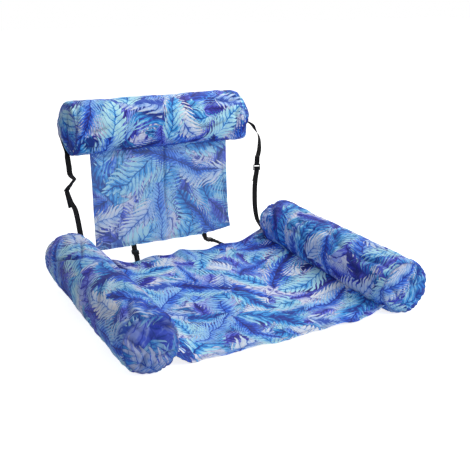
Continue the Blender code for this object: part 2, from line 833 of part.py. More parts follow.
# Ladder-lock adjuster, with its sewn-on bar at the origin and +Z up the strap
def ladder_lock_mesh():
    rail_top = BAR_RADIUS
    rail_foot = -TOP_BAR_UP - END_BAR_DOWN - BAR_RADIUS
    rail = (LOCK_RAIL, LOCK_THICK, rail_top - rail_foot)
    rail_x = (LOCK_WIDTH - LOCK_RAIL) / 2
    rail_z = (rail_top + rail_foot) / 2
    frame = helper("lock_rail", block(rail, (-rail_x, 0.0, rail_z), BUCKLE_EDGE))
    other = block(rail, (rail_x, 0.0, rail_z), BUCKLE_EDGE)
    for z in (0.0, -TOP_BAR_UP, -TOP_BAR_UP - END_BAR_DOWN):
        bar = rod(BAR_RADIUS, LOCK_WIDTH - LOCK_RAIL, (0.0, 0.0, z), "X", BAR_SIDES)
        boolean(frame, helper("lock_bar", bar), "UNION")
    boolean(frame, helper("lock_other_rail", other), "UNION")
    inner = LOCK_WIDTH - 2 * LOCK_RAIL
    tab_z = rail_foot - LIFT_TAB / 2 + BAR_RADIUS
    wide, thick, back = TAB_SHARES
    tab = block(
        (inner * wide, LOCK_THICK * thick, LIFT_TAB),
        (0.0, LOCK_THICK * back, tab_z),
        BUCKLE_EDGE / 2,
    )
    boolean(frame, helper("lock_tab", tab), "UNION")
    mesh = settled(frame)
    shade_round(mesh)
    return mesh


def around(centre_z, start, end, steps=6, radius=WRAP):
    """Points round a bar in the lock's own YZ plane, by angles from +Y towards +Z."""
    made = []
    for n in range(steps + 1):
        angle = math.radians(start + (end - start) * n / steps)
        made.append(Vector((0.0, radius * math.cos(angle), centre_z + radius * math.sin(angle))))
    return made


def in_frame(place, spots):
    """Route stops from points in a frame, with the frame's X as the width direction."""
    bar = place.to_3x3() @ Vector((1.0, 0.0, 0.0))
    return [(place @ spot, bar) for spot in spots]


lock_mesh = ladder_lock_mesh()


def on_head_end(side, back, down):
    """A place on the outside of the head bolster's end, and the webbing's width direction there."""
    bulge = head_form.panel_in(1.0)
    face = GAP + WEB_THICK / 2 + SEAM_EASE
    x = HEAD_HALF - bulge * (back**2 + down**2) + face
    across_web = Vector((-side * 2 * bulge * back, 1.0, 0.0)).normalized()
    return Vector((side * x, HEAD_Y + back, HEAD_HEIGHT - down)), across_web


def side_strap_frame(name):
    """The two ends that a side strap's shares are taken between, and what turns them into places."""
    side = SIDE_STRAPS[name]["side"]
    top = Vector((side * HEAD_HALF, HEAD_Y, HEAD_HEIGHT - HEAD_RADIUS / 2))
    face = GAP + WEB_THICK / 2 + SEAM_EASE
    spread = math.hypot(ARM_ANCHOR_IN - WEB_WIDTH / 2, ARM_ANCHOR_DOWN)
    foot = Vector(
        (
            side * (ARM_X - ARM_ANCHOR_IN),
            ARM_REAR_Y - arm_form.panel_in(spread) + 2 * face,
            ARM_AXIS_Z - ARM_ANCHOR_DOWN,
        )
    )
    reach = (foot - top).length

    def spot(down, outward, back):
        return top.lerp(foot, down) + Vector((side * outward, back, 0.0)) * reach

    return foot, spot


def lock_place(name):
    """Where a ladder-lock sits: its top bar level, its foot tilted outward and back."""
    sizes = SIDE_STRAPS[name]
    bar = heading(sizes["bar_heading"] * -sizes["side"])
    lean = Vector((bar.y, -bar.x, 0.0)) * sizes["side"]
    tilt = math.radians(sizes["tilt"])
    if sizes["side"] < 0:
        lean = Vector((bar.y, -bar.x, 0.0))
    up = lean * math.sin(tilt) + Vector((0.0, 0.0, math.cos(tilt)))
    return frame_of(side_strap_frame(name)[1](*sizes["bar_share"]), up, bar)


def add_side_strap(name):
    """Upper webbing, adjuster and lower webbing of one side."""
    sizes = SIDE_STRAPS[name]
    side = sizes["side"]
    foot, spot = side_strap_frame(name)
    place = lock_place(name)

    # upper webbing: sewn to the bolster's end, then round the top bar and back up, sewn to itself
    start, across_web = on_head_end(side, HEAD_SEWN_BACK, HEAD_SEWN_DOWN)
    stops = [(start, across_web)]
    if side < 0:
        stops.append(on_head_end(side, HEAD_SEWN_BACK, HEAD_SEWN_END_DOWN))
    else:
        start.x -= side * (WEB_THICK / 2 + SEAM_EASE / 2)
    for down, outward, back, facing in sizes["upper_share"]:
        stops.append((spot(down, outward, back), heading(facing)))
    lay, near = LAYER * PASS_SHARE, WRAP * PASS_HEIGHT_SHARE
    folded = [Vector((0.0, lay, SEWN_BACK)), Vector((0.0, lay, near))]
    folded += around(0.0, 0, -180)
    folded += [Vector((0.0, -lay, near)), Vector((0.0, -lay, SEWN_BACK))]
    route = smooth_route(stops + in_frame(place, folded[:1]), LEVEL_STEPS)[:-1]
    route += in_frame(place, folded)
    upper = strap_mesh(name + "_upper", route)
    shade_round(upper)
    add_object(name + "_upper_strap", upper, webbing)

    # adjuster, with its origin on the bar that it tilts about
    add_object(name + "_strap_adjuster", lock_mesh.copy(), plastic, place)

    # lower webbing: up from the arm, behind the end bar, over the middle bar, and back as the tail
    middle, end = -TOP_BAR_UP, -TOP_BAR_UP - END_BAR_DOWN
    outer = -(WRAP + LAYER * LOAD_SHARE)
    load = [
        Vector((0.0, outer, end - WRAP)),
        Vector((0.0, outer, end + WRAP)),
        Vector((0.0, (outer - WRAP) / 2, middle - WRAP)),
    ]
    back_over = around(middle, 180, -35)
    tail = [Vector((0.0, WRAP * out, end + WRAP * up)) for out, up in TAIL_SHARES]
    tail[0].z = (middle + end) / 2
    rise = [(foot - Vector((0.0, 0.0, SEWN_LENGTH / 2)), heading(sizes["anchor_heading"]))]
    rise.append((foot, heading(sizes["anchor_heading"])))
    for down, outward, back, facing in sizes["lower_share"]:
        rise.append((spot(down, outward, back), heading(facing)))
    route = smooth_route(rise + in_frame(place, load[:1]), LEVEL_STEPS)[:-1]
    route += in_frame(place, load + back_over + tail)

    # the tail hangs beside the strap it was folded from
    hang = place @ tail[-1]
    bar = place.to_3x3() @ Vector((1.0, 0.0, 0.0))
    swing = math.tan(math.radians(sizes["tail_swing"]))
    down = Vector((swing, -math.tan(math.radians(TAIL_FORWARD)), -1.0)).normalized()
    for _ in range(TAIL_STEPS):
        hang = hang + down * sizes["tail"] / TAIL_STEPS
        route.append((hang, bar))
    lower = strap_mesh(name + "_lower", route)
    shade_round(lower)
    add_object(name + "_lower_strap", lower, webbing)


for name in SIDE_STRAPS:
    add_side_strap(name)


# Side-release buckle of a tie. Both halves are worked out about the mating plane, with the
# socket along +Z.
def socket_mesh():
    web_bar = SLOT_LENGTH * SOCKET_BAR_SHARE
    slot_z = SOCKET_LENGTH - web_bar - SLOT_LENGTH / 2
    body_length = slot_z - SLOT_LENGTH / 2 - BUCKLE_EDGE
    frame = (BUCKLE_WIDTH, PRONG_THICK, SOCKET_LENGTH - body_length / 2)
    frame_z = (SOCKET_LENGTH + body_length / 2) / 2
    body = helper("socket_frame", block(frame, (0.0, 0.0, frame_z), BUCKLE_EDGE))
    slot = block((WEB_WIDTH + 4 * GAP, OVERRUN, SLOT_LENGTH), (0.0, 0.0, slot_z))
    boolean(body, helper("socket_slot", slot), "DIFFERENCE")
    shell = block(
        (BUCKLE_WIDTH, BUCKLE_THICK, body_length), (0.0, 0.0, body_length / 2), BUCKLE_EDGE
    )
    boolean(body, helper("socket_shell", shell), "UNION")
    inner = BUCKLE_WIDTH - 2 * SOCKET_WALL
    high = BUCKLE_THICK - 2 * SOCKET_WALL
    depth = body_length - SOCKET_WALL
    hollow = block((inner, high, depth + OVERRUN), (0.0, 0.0, (depth - OVERRUN) / 2))
    boolean(body, helper("socket_hollow", hollow), "DIFFERENCE")
    windows = block(
        (BUCKLE_WIDTH + OVERRUN, high, WINDOW_LENGTH),
        (0.0, 0.0, WINDOW_START + WINDOW_LENGTH / 2),
    )
    boolean(body, helper("socket_windows", windows), "DIFFERENCE")
    mesh = settled(body)
    shade_round(mesh)
    return mesh, SOCKET_LENGTH - web_bar / 2, web_bar


def prong_mesh():
    base_z = -GAP - PRONG_BASE / 2
    body = helper(
        "prong_blank",
        block((BUCKLE_WIDTH, PRONG_THICK, PRONG_BASE), (0.0, 0.0, base_z), BUCKLE_EDGE),
    )
    web_bar = SLOT_LENGTH * PRONG_BAR_SHARE
    slot_z = -GAP - PRONG_BASE + web_bar + SLOT_LENGTH / 2
    slot = block((WEB_WIDTH + 4 * GAP, OVERRUN, SLOT_LENGTH), (0.0, 0.0, slot_z))
    boolean(body, helper("prong_slot", slot), "DIFFERENCE")
    post_length = WINDOW_START + WINDOW_LENGTH * POST_LENGTH_SHARE
    post = block(
        (POST_WIDTH, PRONG_THICK * POST_THICK_SHARE, post_length + BUCKLE_EDGE),
        (0.0, 0.0, (post_length - BUCKLE_EDGE) / 2 - GAP),
    )
    boolean(body, helper("prong_post", post), "UNION")

    # each sprung arm leaves the base, bows inward and ends in a barb that fills the window
    inside = BUCKLE_WIDTH / 2 - SOCKET_WALL - GAP
    tip = BUCKLE_WIDTH / 2 - GAP
    shoulder = WINDOW_START + GAP
    window_end = WINDOW_START + WINDOW_LENGTH
    root_in, root_out = ARM_ROOT_SHARES
    bow_in, bow_up = ARM_BOW_SHARES
    tip_out, tip_in, tip_up = ARM_TIP_SHARES
    back_in, back_up = ARM_BACK_SHARES
    outline = [
        (inside - ARM_THICK * root_in, -GAP - BUCKLE_EDGE),
        (inside - ARM_THICK * root_out, -GAP - BUCKLE_EDGE),
        (inside - ARM_THICK * bow_in, shoulder * bow_up),
        (inside - GAP, shoulder),
        (tip, shoulder),
        (tip, shoulder + WINDOW_LENGTH * BARB_LENGTH_SHARE),
        (inside - ARM_THICK * tip_out, window_end - GAP),
        (inside - ARM_THICK * tip_in, WINDOW_START + WINDOW_LENGTH * tip_up),
        (inside - ARM_THICK * back_in, shoulder * back_up),
    ]
    for hand in (-1, 1):
        bm = bmesh.new()
        rim = [bm.verts.new((hand * x, -PRONG_THICK / 2, z)) for x, z in outline]
        face = bm.faces.new(rim)
        grown = bmesh.ops.extrude_face_region(bm, geom=[face])["geom"]
        lifted = [g for g in grown if isinstance(g, bmesh.types.BMVert)]
        bmesh.ops.translate(bm, vec=(0.0, PRONG_THICK, 0.0), verts=lifted)
        bmesh.ops.recalc_face_normals(bm, faces=bm.faces)
        boolean(body, helper("prong_arm", bm), "UNION")
    mesh = settled(body)
    shade_round(mesh)
    return mesh, -GAP - PRONG_BASE + web_bar / 2, web_bar


socket, SOCKET_BAR_Z, SOCKET_BAR = socket_mesh()
prong, PRONG_BAR_Z, PRONG_BAR = prong_mesh()


def wrap_radius(bar):
    """Radius of webbing's middle round one of the buckle's flat bars."""
    return math.hypot(bar / 2, PRONG_THICK / 2) + GAP + WEB_THICK / 2


def behind_panel(x, z):
    """World y of the back panel's rear face behind a strap's width at x, at a height."""
    v = (z - HINGE_Z) / (BACK_TOP - GAP - HINGE_Z)
    proud = max(
        back_shape((x + share * WEB_WIDTH) / BACK_WIDTH + 0.5, v).y
        for share in WEB_WIDTH_SHARES
    )
    return proud + PANEL_CLOTH / 2 + GAP + WEB_THICK / 2


def add_tie(name):
    """One tie: seat webbing, prong, socket and back webbing."""
    ends = TIES[name]
    start = seat_spot(ends["seat_x"], SEAT_DEPTH) + Vector((0.0, 2 * GAP + SEAM_EASE, 0.0))
    foot = Vector((ends["back_x"], HINGE_Y, HINGE_Z))
    level = Vector((foot.x - start.x, foot.y - start.y, 0.0)).normalized()
    rise = math.radians(TIE_SLOPE)
    along = level * math.cos(rise) + Vector((0.0, 0.0, math.sin(rise)))
    across_bar = Vector((level.y, -level.x, 0.0))
    front = (foot.y - TIE_CLEARANCE - start.y) / level.y
    mating = start + level * (front - SOCKET_LENGTH)
    mating.z = TIE_HEIGHT
    place = frame_of(mating, along, across_bar)
    add_object(name + "_tie_prong", prong.copy(), plastic, place)
    add_object(name + "_tie_socket", socket.copy(), plastic, place)

    # seat webbing: from the seat's edge, round the prong's bar and back on itself
    bend = wrap_radius(PRONG_BAR)
    lay = LAYER * TIE_LAY_SHARE
    joined_z = PRONG_BAR_Z - bend * 2
    joined = [Vector((0.0, lay, joined_z))]
    joined += around(PRONG_BAR_Z, *SEAT_WRAP_ANGLES, 7, bend)
    joined += [Vector((0.0, -lay, joined_z)), Vector((0.0, -lay, joined_z - TIE_SEWN))]
    entry = Vector((0.0, lay, joined_z - TIE_SEWN))
    level_bar = heading(0)
    lead = [(start, level_bar), (start + level * WEB_WIDTH / 4, level_bar)]
    route = smooth_route(lead + in_frame(place, [entry]), 2) + in_frame(place, joined)
    seat_web = strap_mesh(name + "_seat_tie", route)
    shade_round(seat_web)
    add_object(name + "_seat_tie_strap", seat_web, webbing)

    # back webbing: folded through the socket's slot, both layers going up the panel's rear face
    bend = wrap_radius(SOCKET_BAR)
    wrap = around(SOCKET_BAR_Z, *BACK_WRAP_ANGLES, 9, bend)
    bar_spots = in_frame(place, wrap)
    layers = []
    for layer in (0, 1):
        back = LAYER * layer
        ups = []
        for share in BACK_HEM_SHARES:
            z = HINGE_Z + BACK_HEM * share
            ups.append((Vector((foot.x, behind_panel(foot.x, z) + back, z)), level_bar))
        turn_z = HINGE_Z - PANEL_CLOTH / 2 - WEB_THICK - back
        turn_y = behind_panel(foot.x, HINGE_Z) + back
        ups.append((Vector((foot.x, turn_y, turn_z + TIE_TURN)), level_bar))
        ups.append((Vector((foot.x, turn_y - TIE_TURN, turn_z - TIE_TURN)), level_bar))
        layers.append(ups)
    route = smooth_route(layers[1] + bar_spots[:1], 2)[:-1] + bar_spots
    route += smooth_route(bar_spots[-1:] + layers[0][::-1], 2)[1:]
    back_web = strap_mesh(name + "_back_tie", route)
    shade_round(back_web)
    add_object(name + "_back_tie_strap", back_web, webbing)


for name in TIES:
    add_tie(name)
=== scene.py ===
import math

import bmesh
import bpy
from mathutils import Matrix, Vector, noise
from mathutils.bvhtree import BVHTree


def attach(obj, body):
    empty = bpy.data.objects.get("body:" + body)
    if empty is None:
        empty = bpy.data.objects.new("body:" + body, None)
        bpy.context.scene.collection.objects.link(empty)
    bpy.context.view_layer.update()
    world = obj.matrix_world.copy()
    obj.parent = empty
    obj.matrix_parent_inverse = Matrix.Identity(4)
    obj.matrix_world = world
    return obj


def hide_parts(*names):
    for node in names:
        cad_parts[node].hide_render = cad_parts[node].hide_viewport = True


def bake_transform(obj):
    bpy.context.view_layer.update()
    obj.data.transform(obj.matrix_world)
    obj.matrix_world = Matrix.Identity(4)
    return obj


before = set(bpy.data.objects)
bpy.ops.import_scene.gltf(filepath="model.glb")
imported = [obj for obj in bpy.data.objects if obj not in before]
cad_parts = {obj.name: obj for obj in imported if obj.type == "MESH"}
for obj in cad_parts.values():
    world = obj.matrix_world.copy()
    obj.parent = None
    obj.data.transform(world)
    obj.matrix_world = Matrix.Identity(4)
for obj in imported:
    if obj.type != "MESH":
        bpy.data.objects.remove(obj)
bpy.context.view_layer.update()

print("frame loaded,", len(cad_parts), "nodes")

# camera, light and floor
view = {"place": (-1.0474, -2.1502, 0.9918), "yaw": 28.016, "down": 19.018, "roll": 0.254, "lens": 58.34}
light = {
    "dome": 0.34,
    "target": (0.0, 0.0, 0.15),
    "key_lamp": {"place": (0.9, 0.7, 2.5), "size": 1.5, "power": 26.0},
    "fill_lamp": {"place": (1.3, -2.2, 1.7), "size": 1.8, "power": 36.0},
}
floor = {"half": 12.0, "level": -0.0004, "glow": 0.82}
floorLook = {"Base Color": (0.93, 0.93, 0.94, 1.0), "Roughness": 0.9, "Specular IOR Level": 0.1}


def newPiece(name, data):
    piece = bpy.data.objects.new(name, data)
    bpy.context.scene.collection.objects.link(piece)
    return piece


def newMesh(name, bm, outward=False):
    # every piece's flat map is called flat
    if outward:
        bmesh.ops.recalc_face_normals(bm, faces=bm.faces)
    mesh = bpy.data.meshes.new(name)
    bm.to_mesh(mesh)
    bm.free()
    if mesh.uv_layers:
        mesh.uv_layers[0].name = "flat"
    return mesh


def newGrid(columns, rows):
    bm = bmesh.new()
    bmesh.ops.create_grid(bm, x_segments=columns, y_segments=rows, size=0.5, calc_uvs=True)
    return bm, bm.loops.layers.uv.verify()


def layFlat(bm, flat, spotOf):
    # the flat map, from each point's place on the plain grid
    for face in bm.faces:
        for loop in face.loops:
            loop[flat].uv = spotOf(loop.vert.co)


def finished(piece):
    # the piece's mesh with its modifiers worked in
    graph = bpy.context.evaluated_depsgraph_get()
    return bpy.data.meshes.new_from_object(piece.evaluated_get(graph))


def standFor(node, slot):
    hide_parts(node)


def bell(value):
    return math.exp(-(value**2))


def rough(x, y, z):
    return noise.noise(Vector((x, y, z)))


def addCamera():
    yaw, down, roll = (math.radians(view[name]) for name in ("yaw", "down", "roll"))
    ahead = Vector((math.sin(yaw) * math.cos(down), math.cos(yaw) * math.cos(down), -math.sin(down)))
    right = Vector((math.cos(yaw), -math.sin(yaw), 0.0))
    up = right.cross(ahead)
    side = math.cos(roll) * right + math.sin(roll) * up
    top = math.cos(roll) * up - math.sin(roll) * right
    data = bpy.data.cameras.new("photo_camera")
    data.sensor_width = 36.0
    data.lens = view["lens"]
    camera = newPiece("photo_camera", data)
    turn = Matrix((side, top, -ahead)).transposed().to_4x4()
    camera.matrix_world = Matrix.Translation(view["place"]) @ turn
    bpy.context.scene.camera = camera


def addLamp(name):
    lamp = light[name]
    data = bpy.data.lights.new(name, "AREA")
    data.shape = "DISK"
    data.size = lamp["size"]
    data.energy = lamp["power"]
    piece = newPiece(name, data)
    piece.location = lamp["place"]
    piece.rotation_euler = (Vector(light["target"]) - Vector(lamp["place"])).to_track_quat("-Z", "Y").to_euler()


def sums(operation):
    # an operator that adds one Math node
    return lambda wire, *others: wire.math(operation, *others)


class Wire:
    # an output of a node; sums on it add Math nodes
    def __init__(self, paint, made, output=0):
        self.paint, self.made, self.socket = paint, made, made.outputs[output]

    def also(self, output):
        return Wire(self.paint, self.made, output)

    def math(self, operation, *others, clamp=False):
        sockets = {n: value for n, value in enumerate((self,) + others)}
        return self.paint.node("Math", {"operation": operation, "use_clamp": clamp}, sockets)

    def __rsub__(self, other):
        return self.paint.node("Math", {"operation": "SUBTRACT"}, {0: other, 1: self})

    def clamp(self):
        return self.math("ADD", 0.0, clamp=True)

    __add__ = __radd__ = sums("ADD")
    __mul__ = __rmul__ = sums("MULTIPLY")
    __sub__ = sums("SUBTRACT")
    __truediv__ = sums("DIVIDE")
    __pow__ = sums("POWER")
    __abs__ = sums("ABSOLUTE")
    atLeast = sums("MAXIMUM")


class Paint:
    # the nodes of one material or group
    def __init__(self, tree):
        self.tree = tree

    def node(self, kind, settings=None, sockets=None, output=0):
        made = self.tree.nodes.new("ShaderNode" + kind)
        for name, value in (settings or {}).items():
            if name == "stops":
                self.setStops(made.color_ramp, value)
            else:
                setattr(made, name, value)
        for name, value in (sockets or {}).items():
            self.feed(made.inputs[name], value)
        return Wire(self, made, output)

    def feed(self, socket, value):
        if isinstance(value, Wire):
            self.tree.links.new(value.socket, socket)
        else:
            socket.default_value = value

    @staticmethod
    def setStops(ramp, stops):
        while len(ramp.elements) < len(stops):
            ramp.elements.new(0.5)
        for element, (place, colour) in zip(ramp.elements, stops):
            element.position = place
            element.color = (*colour, 1.0)

    def mix(self, share, low, high):
        made = self.node("Mix", {"data_type": "RGBA"}, {0: share}, 2)
        for index, value in ((6, low), (7, high)):
            plain = not isinstance(value, Wire) and len(value) == 3
            self.feed(made.made.inputs[index], (*value, 1.0) if plain else value)
        return made

    def vector(self, operation, first, second):
        return self.node("VectorMath", {"operation": operation}, {0: first, 1: second})

    def cloud(self, where, scale, detail, distortion=0.0, flat=False, output=0):
        # soft noise; flat noise reads only the flat map's two directions
        settings = {"noise_dimensions": "2D"} if flat else {}
        sockets = {"Vector": where, "Scale": scale, "Detail": detail, "Distortion": distortion}
        return self.node("TexNoise", settings, sockets, output)

    def dress(self, looks):
        for name, value in looks.items():
            self.feed(self.shader.inputs[name], value)

    def bump(self, height, strength):
        return self.node("Bump", {}, {"Height": height, "Strength": strength, "Distance": 1.0})


def newMaterial(name):
    made = bpy.data.materials.new(name)
    made.use_nodes = True
    paint = Paint(made.node_tree)
    paint.shader = made.node_tree.nodes["Principled BSDF"]
    paint.material = made
    return paint


def addFloor():
    bm = bmesh.new()
    bmesh.ops.create_grid(bm, x_segments=1, y_segments=1, size=floor["half"])
    bmesh.ops.translate(bm, vec=(0.0, 0.0, floor["level"]), verts=bm.verts)
    piece = newPiece("floor", newMesh("floor", bm))
    paint = newMaterial("white_floor")
    paint.dress(floorLook)
    ray = paint.node("LightPath", output="Is Camera Ray")
    paint.dress({"Emission Color": (1.0, 1.0, 1.0, 1.0), "Emission Strength": ray * floor["glow"]})
    piece.data.materials.append(paint.material)


def addWorld():
    world = bpy.data.worlds.new("studio")
    world.use_nodes = True
    bpy.context.scene.world = world
    paint = Paint(world.node_tree)
    back = world.node_tree.nodes["Background"]
    path = paint.node("LightPath", output="Is Camera Ray")
    seen = (path + path.also("Is Glossy Ray") + path.also("Is Transmission Ray")).clamp()
    paint.feed(back.inputs["Color"], (1.0, 1.0, 1.0, 1.0))
    paint.feed(back.inputs["Strength"], seen * (1.0 - light["dome"]) + light["dome"])


addCamera()
addFloor()
addWorld()
addLamp("key_lamp")
addLamp("fill_lamp")
bpy.context.scene.view_settings.view_transform = "Standard"
print("camera, lamps and floor made")

# the leaf print, in metres on each piece's own flat map
leafShades = {
    "royal": [
        (0.0, (0.006, 0.006, 0.15)), (0.30, (0.010, 0.045, 0.50)),
        (0.62, (0.030, 0.18, 0.86)), (1.0, (0.34, 0.64, 1.0)),
    ],
    "sky": [
        (0.0, (0.006, 0.024, 0.28)), (0.25, (0.011, 0.16, 0.61)),
        (0.55, (0.062, 0.44, 0.92)), (0.95, (0.54, 0.90, 1.0)),
    ],
    "violet": [
        (0.0, (0.010, 0.006, 0.16)), (0.35, (0.038, 0.028, 0.44)),
        (0.70, (0.085, 0.12, 0.74)), (1.0, (0.40, 0.50, 0.97)),
    ],
    "pale": [
        (0.0, (0.03, 0.09, 0.52)), (0.25, (0.26, 0.46, 0.90)),
        (0.55, (0.64, 0.78, 0.98)), (1.0, (0.92, 0.95, 1.0)),
    ],
    "teal": [
        (0.0, (0.006, 0.034, 0.26)), (0.30, (0.020, 0.20, 0.55)),
        (0.60, (0.08, 0.44, 0.82)), (1.0, (0.50, 0.84, 0.98)),
    ],
    "ground": [
        (0.34, (0.03, 0.02, 0.36)), (0.42, (0.42, 0.46, 0.88)),
        (0.50, (0.80, 0.83, 0.98)), (0.8, (0.95, 0.95, 1.0)),
    ],
}
# from the lowest leaves to the top ones: shade, cells a metre, shift, half length and width, leaflets a metre,
# how far they slant, how deep they are cut and from how far out, and how strongly their veins show
leafFacts = ("shade", "cells", "shift", "length", "width", "fingers", "slant", "cut", "open", "vein")
leafLayers = [
    ("violet", 4.4, (3.1, 7.7), 0.130, 0.062, 28, 0.9, 1.0, 0.30, 0.8),
    ("teal", 4.6, (12.3, 4.2), 0.130, 0.060, 32, 0.9, 1.2, 0.25, 1.0),
    ("royal", 4.4, (17.2, 9.3), 0.130, 0.064, 31, 0.8, 1.2, 0.20, 1.0),
    ("sky", 4.4, (1.7, 15.5), 0.140, 0.062, 44, 1.3, 2.2, 0.05, 1.0),
    ("violet", 5.4, (21.8, 2.6), 0.090, 0.042, 50, 1.2, 2.0, 0.05, 0.9),
    ("pale", 4.8, (8.4, 1.9), 0.105, 0.050, 38, 1.0, 1.5, 0.10, 0.8),
    ("sky", 5.2, (27.4, 19.6), 0.104, 0.054, 34, 0.9, 1.3, 0.22, 1.0),
    ("royal", 4.5, (5.9, 23.1), 0.135, 0.058, 46, 1.3, 2.6, 0.03, 1.1),
]
# how a leaf is outlined and shaded, and what its tone is made of
leafForm = {
    "scatter": 0.78, "smallest": 0.70, "sizes": 0.5, "curl": 1.2, "taper": 0.3, "outline": 22.0,
    "shadow": (0.016, 0.010, 0.26), "shadowReach": 0.22, "shadowEdge": 3.5, "shadowShare": 0.8,
    "rib": 330.0, "creaseStart": 0.80, "creaseEdge": 5.5, "veinEdge": 3.5,
}
leafTone = {
    "chance": 0.54, "streak": 0.35, "wash": 0.8, "halves": 0.9, "out": 0.42, "along": 0.12, "base": 0.16,
    "vein": 0.22, "crease": 0.58, "rib": 0.42, "contrast": 1.34, "level": 0.42,
}


def addLeaves(paint, spot, streak, wash, below, leaf):
    moved = paint.vector("ADD", spot, (*leaf["shift"], 0.0))
    sockets = {"Vector": moved, "Scale": leaf["cells"], "Randomness": leafForm["scatter"]}
    cell = paint.node("TexVoronoi", {"voronoi_dimensions": "2D"}, sockets, "Position")
    chance = paint.node("SeparateColor", sockets={0: cell.also("Color")})
    size = chance.also(1) * leafForm["sizes"] + leafForm["smallest"]
    fromStem = paint.vector("SUBTRACT", moved, cell)
    turned = paint.node("VectorRotate", {"rotation_type": "Z_AXIS"}, {"Vector": fromStem, "Angle": chance * math.tau})
    flat = paint.node("SeparateXYZ", sockets={0: turned})
    along = flat / size / leaf["length"]
    squared = (along * along).math("MINIMUM", 1.0)
    across = flat.also(1) / size + squared * (chance.also(1) - 0.5) * (leaf["width"] * leafForm["curl"])
    away = abs(across)
    half = ((1.0 - squared) ** 0.5 * (1.0 - along * leafForm["taper"])).atLeast(0.02) * leaf["width"]
    out = away / half
    side = across.math("GREATER_THAN", 0.0) * 0.5
    slant = (out * 0.5 + 0.6) * leaf["slant"]
    often = (chance.also(2) * 0.5 + 0.90) * leaf["fingers"]
    count = (along * leaf["length"] - away * slant) * often + side + streak * 0.25 + wash * 1.2
    gap = abs(count.math("FRACT") - 0.5) * 2.0
    cleft = ((out - leaf["open"]) * 1.4).clamp() * leaf["cut"]
    margin = 1.0 - gap**2.2 * cleft - out + wash * 0.2
    seen = (margin * leafForm["outline"]).clamp()
    shadow = ((margin + leafForm["shadowReach"]) * leafForm["shadowEdge"]).clamp()
    below = paint.mix(shadow * (1.0 - seen) * leafForm["shadowShare"], below, leafForm["shadow"])
    rib = (1.0 - away * leafForm["rib"]).clamp()
    crease = ((gap - leafForm["creaseStart"]) * leafForm["creaseEdge"]).clamp()
    vein = (1.0 - gap * leafForm["veinEdge"]).clamp()
    lines = (vein * leafTone["vein"] - crease * leafTone["crease"] - rib * leafTone["rib"]) * leaf["vein"]
    tone = chance.also(2) * leafTone["chance"] + streak * leafTone["streak"] + wash * leafTone["wash"] + lines
    tone = tone + (chance - 0.5) * side * leafTone["halves"] + out * leafTone["out"] - along * leafTone["along"]
    tone = (tone + leafTone["base"] - 0.5) * leafTone["contrast"] + leafTone["level"]
    shade = paint.node("ValToRGB", {"stops": leafShades[leaf["shade"]]}, {0: tone.clamp()})
    return paint.mix(seen, below, shade)


def makePrint():
    tree = bpy.data.node_groups.new("leaf_print", "ShaderNodeTree")
    tree.interface.new_socket("Flat", in_out="INPUT", socket_type="NodeSocketVector")
    tree.interface.new_socket("Color", in_out="OUTPUT", socket_type="NodeSocketColor")
    paint = Paint(tree)
    raw = Wire(paint, tree.nodes.new("NodeGroupInput"))
    end = tree.nodes.new("NodeGroupOutput")
    sway = paint.cloud(raw, 9.0, 1.0, flat=True, output="Color")
    spot = paint.vector("MULTIPLY_ADD", sway, (0.045, 0.045, 0.0))
    paint.feed(spot.made.inputs[2], raw)
    streak = paint.cloud(raw, 85.0, 2.0, flat=True) - 0.5
    wash = paint.cloud(raw, 17.0, 2.0, flat=True) - 0.5
    ground = paint.cloud(raw, 26.0, 3.0, 1.4, flat=True)
    colour = paint.node("ValToRGB", {"stops": leafShades["ground"]}, {0: ground})
    for row in leafLayers:
        colour = addLeaves(paint, spot, streak, wash, colour, dict(zip(leafFacts, row)))
    tree.links.new(colour.socket, end.inputs[0])
    return tree


leafPrint = makePrint()
clothLook = {
    "seamShade": (0.012, 0.020, 0.22), "seamShare": 0.55, "stitches": 1500.0, "thread": (0.10, 0.16, 0.62),
    "shadeColour": (0.008, 0.055, 0.40), "light": (0.42, 0.68, 1.0), "faded": (0.22, 0.42, 0.90),
    "creaseShade": (0.006, 0.012, 0.16), "weave": 5200.0, "weaveHigh": 0.00006, "crumpleHigh": 0.0030,
    "stitchHigh": 0.0004, "bump": 0.55,
}


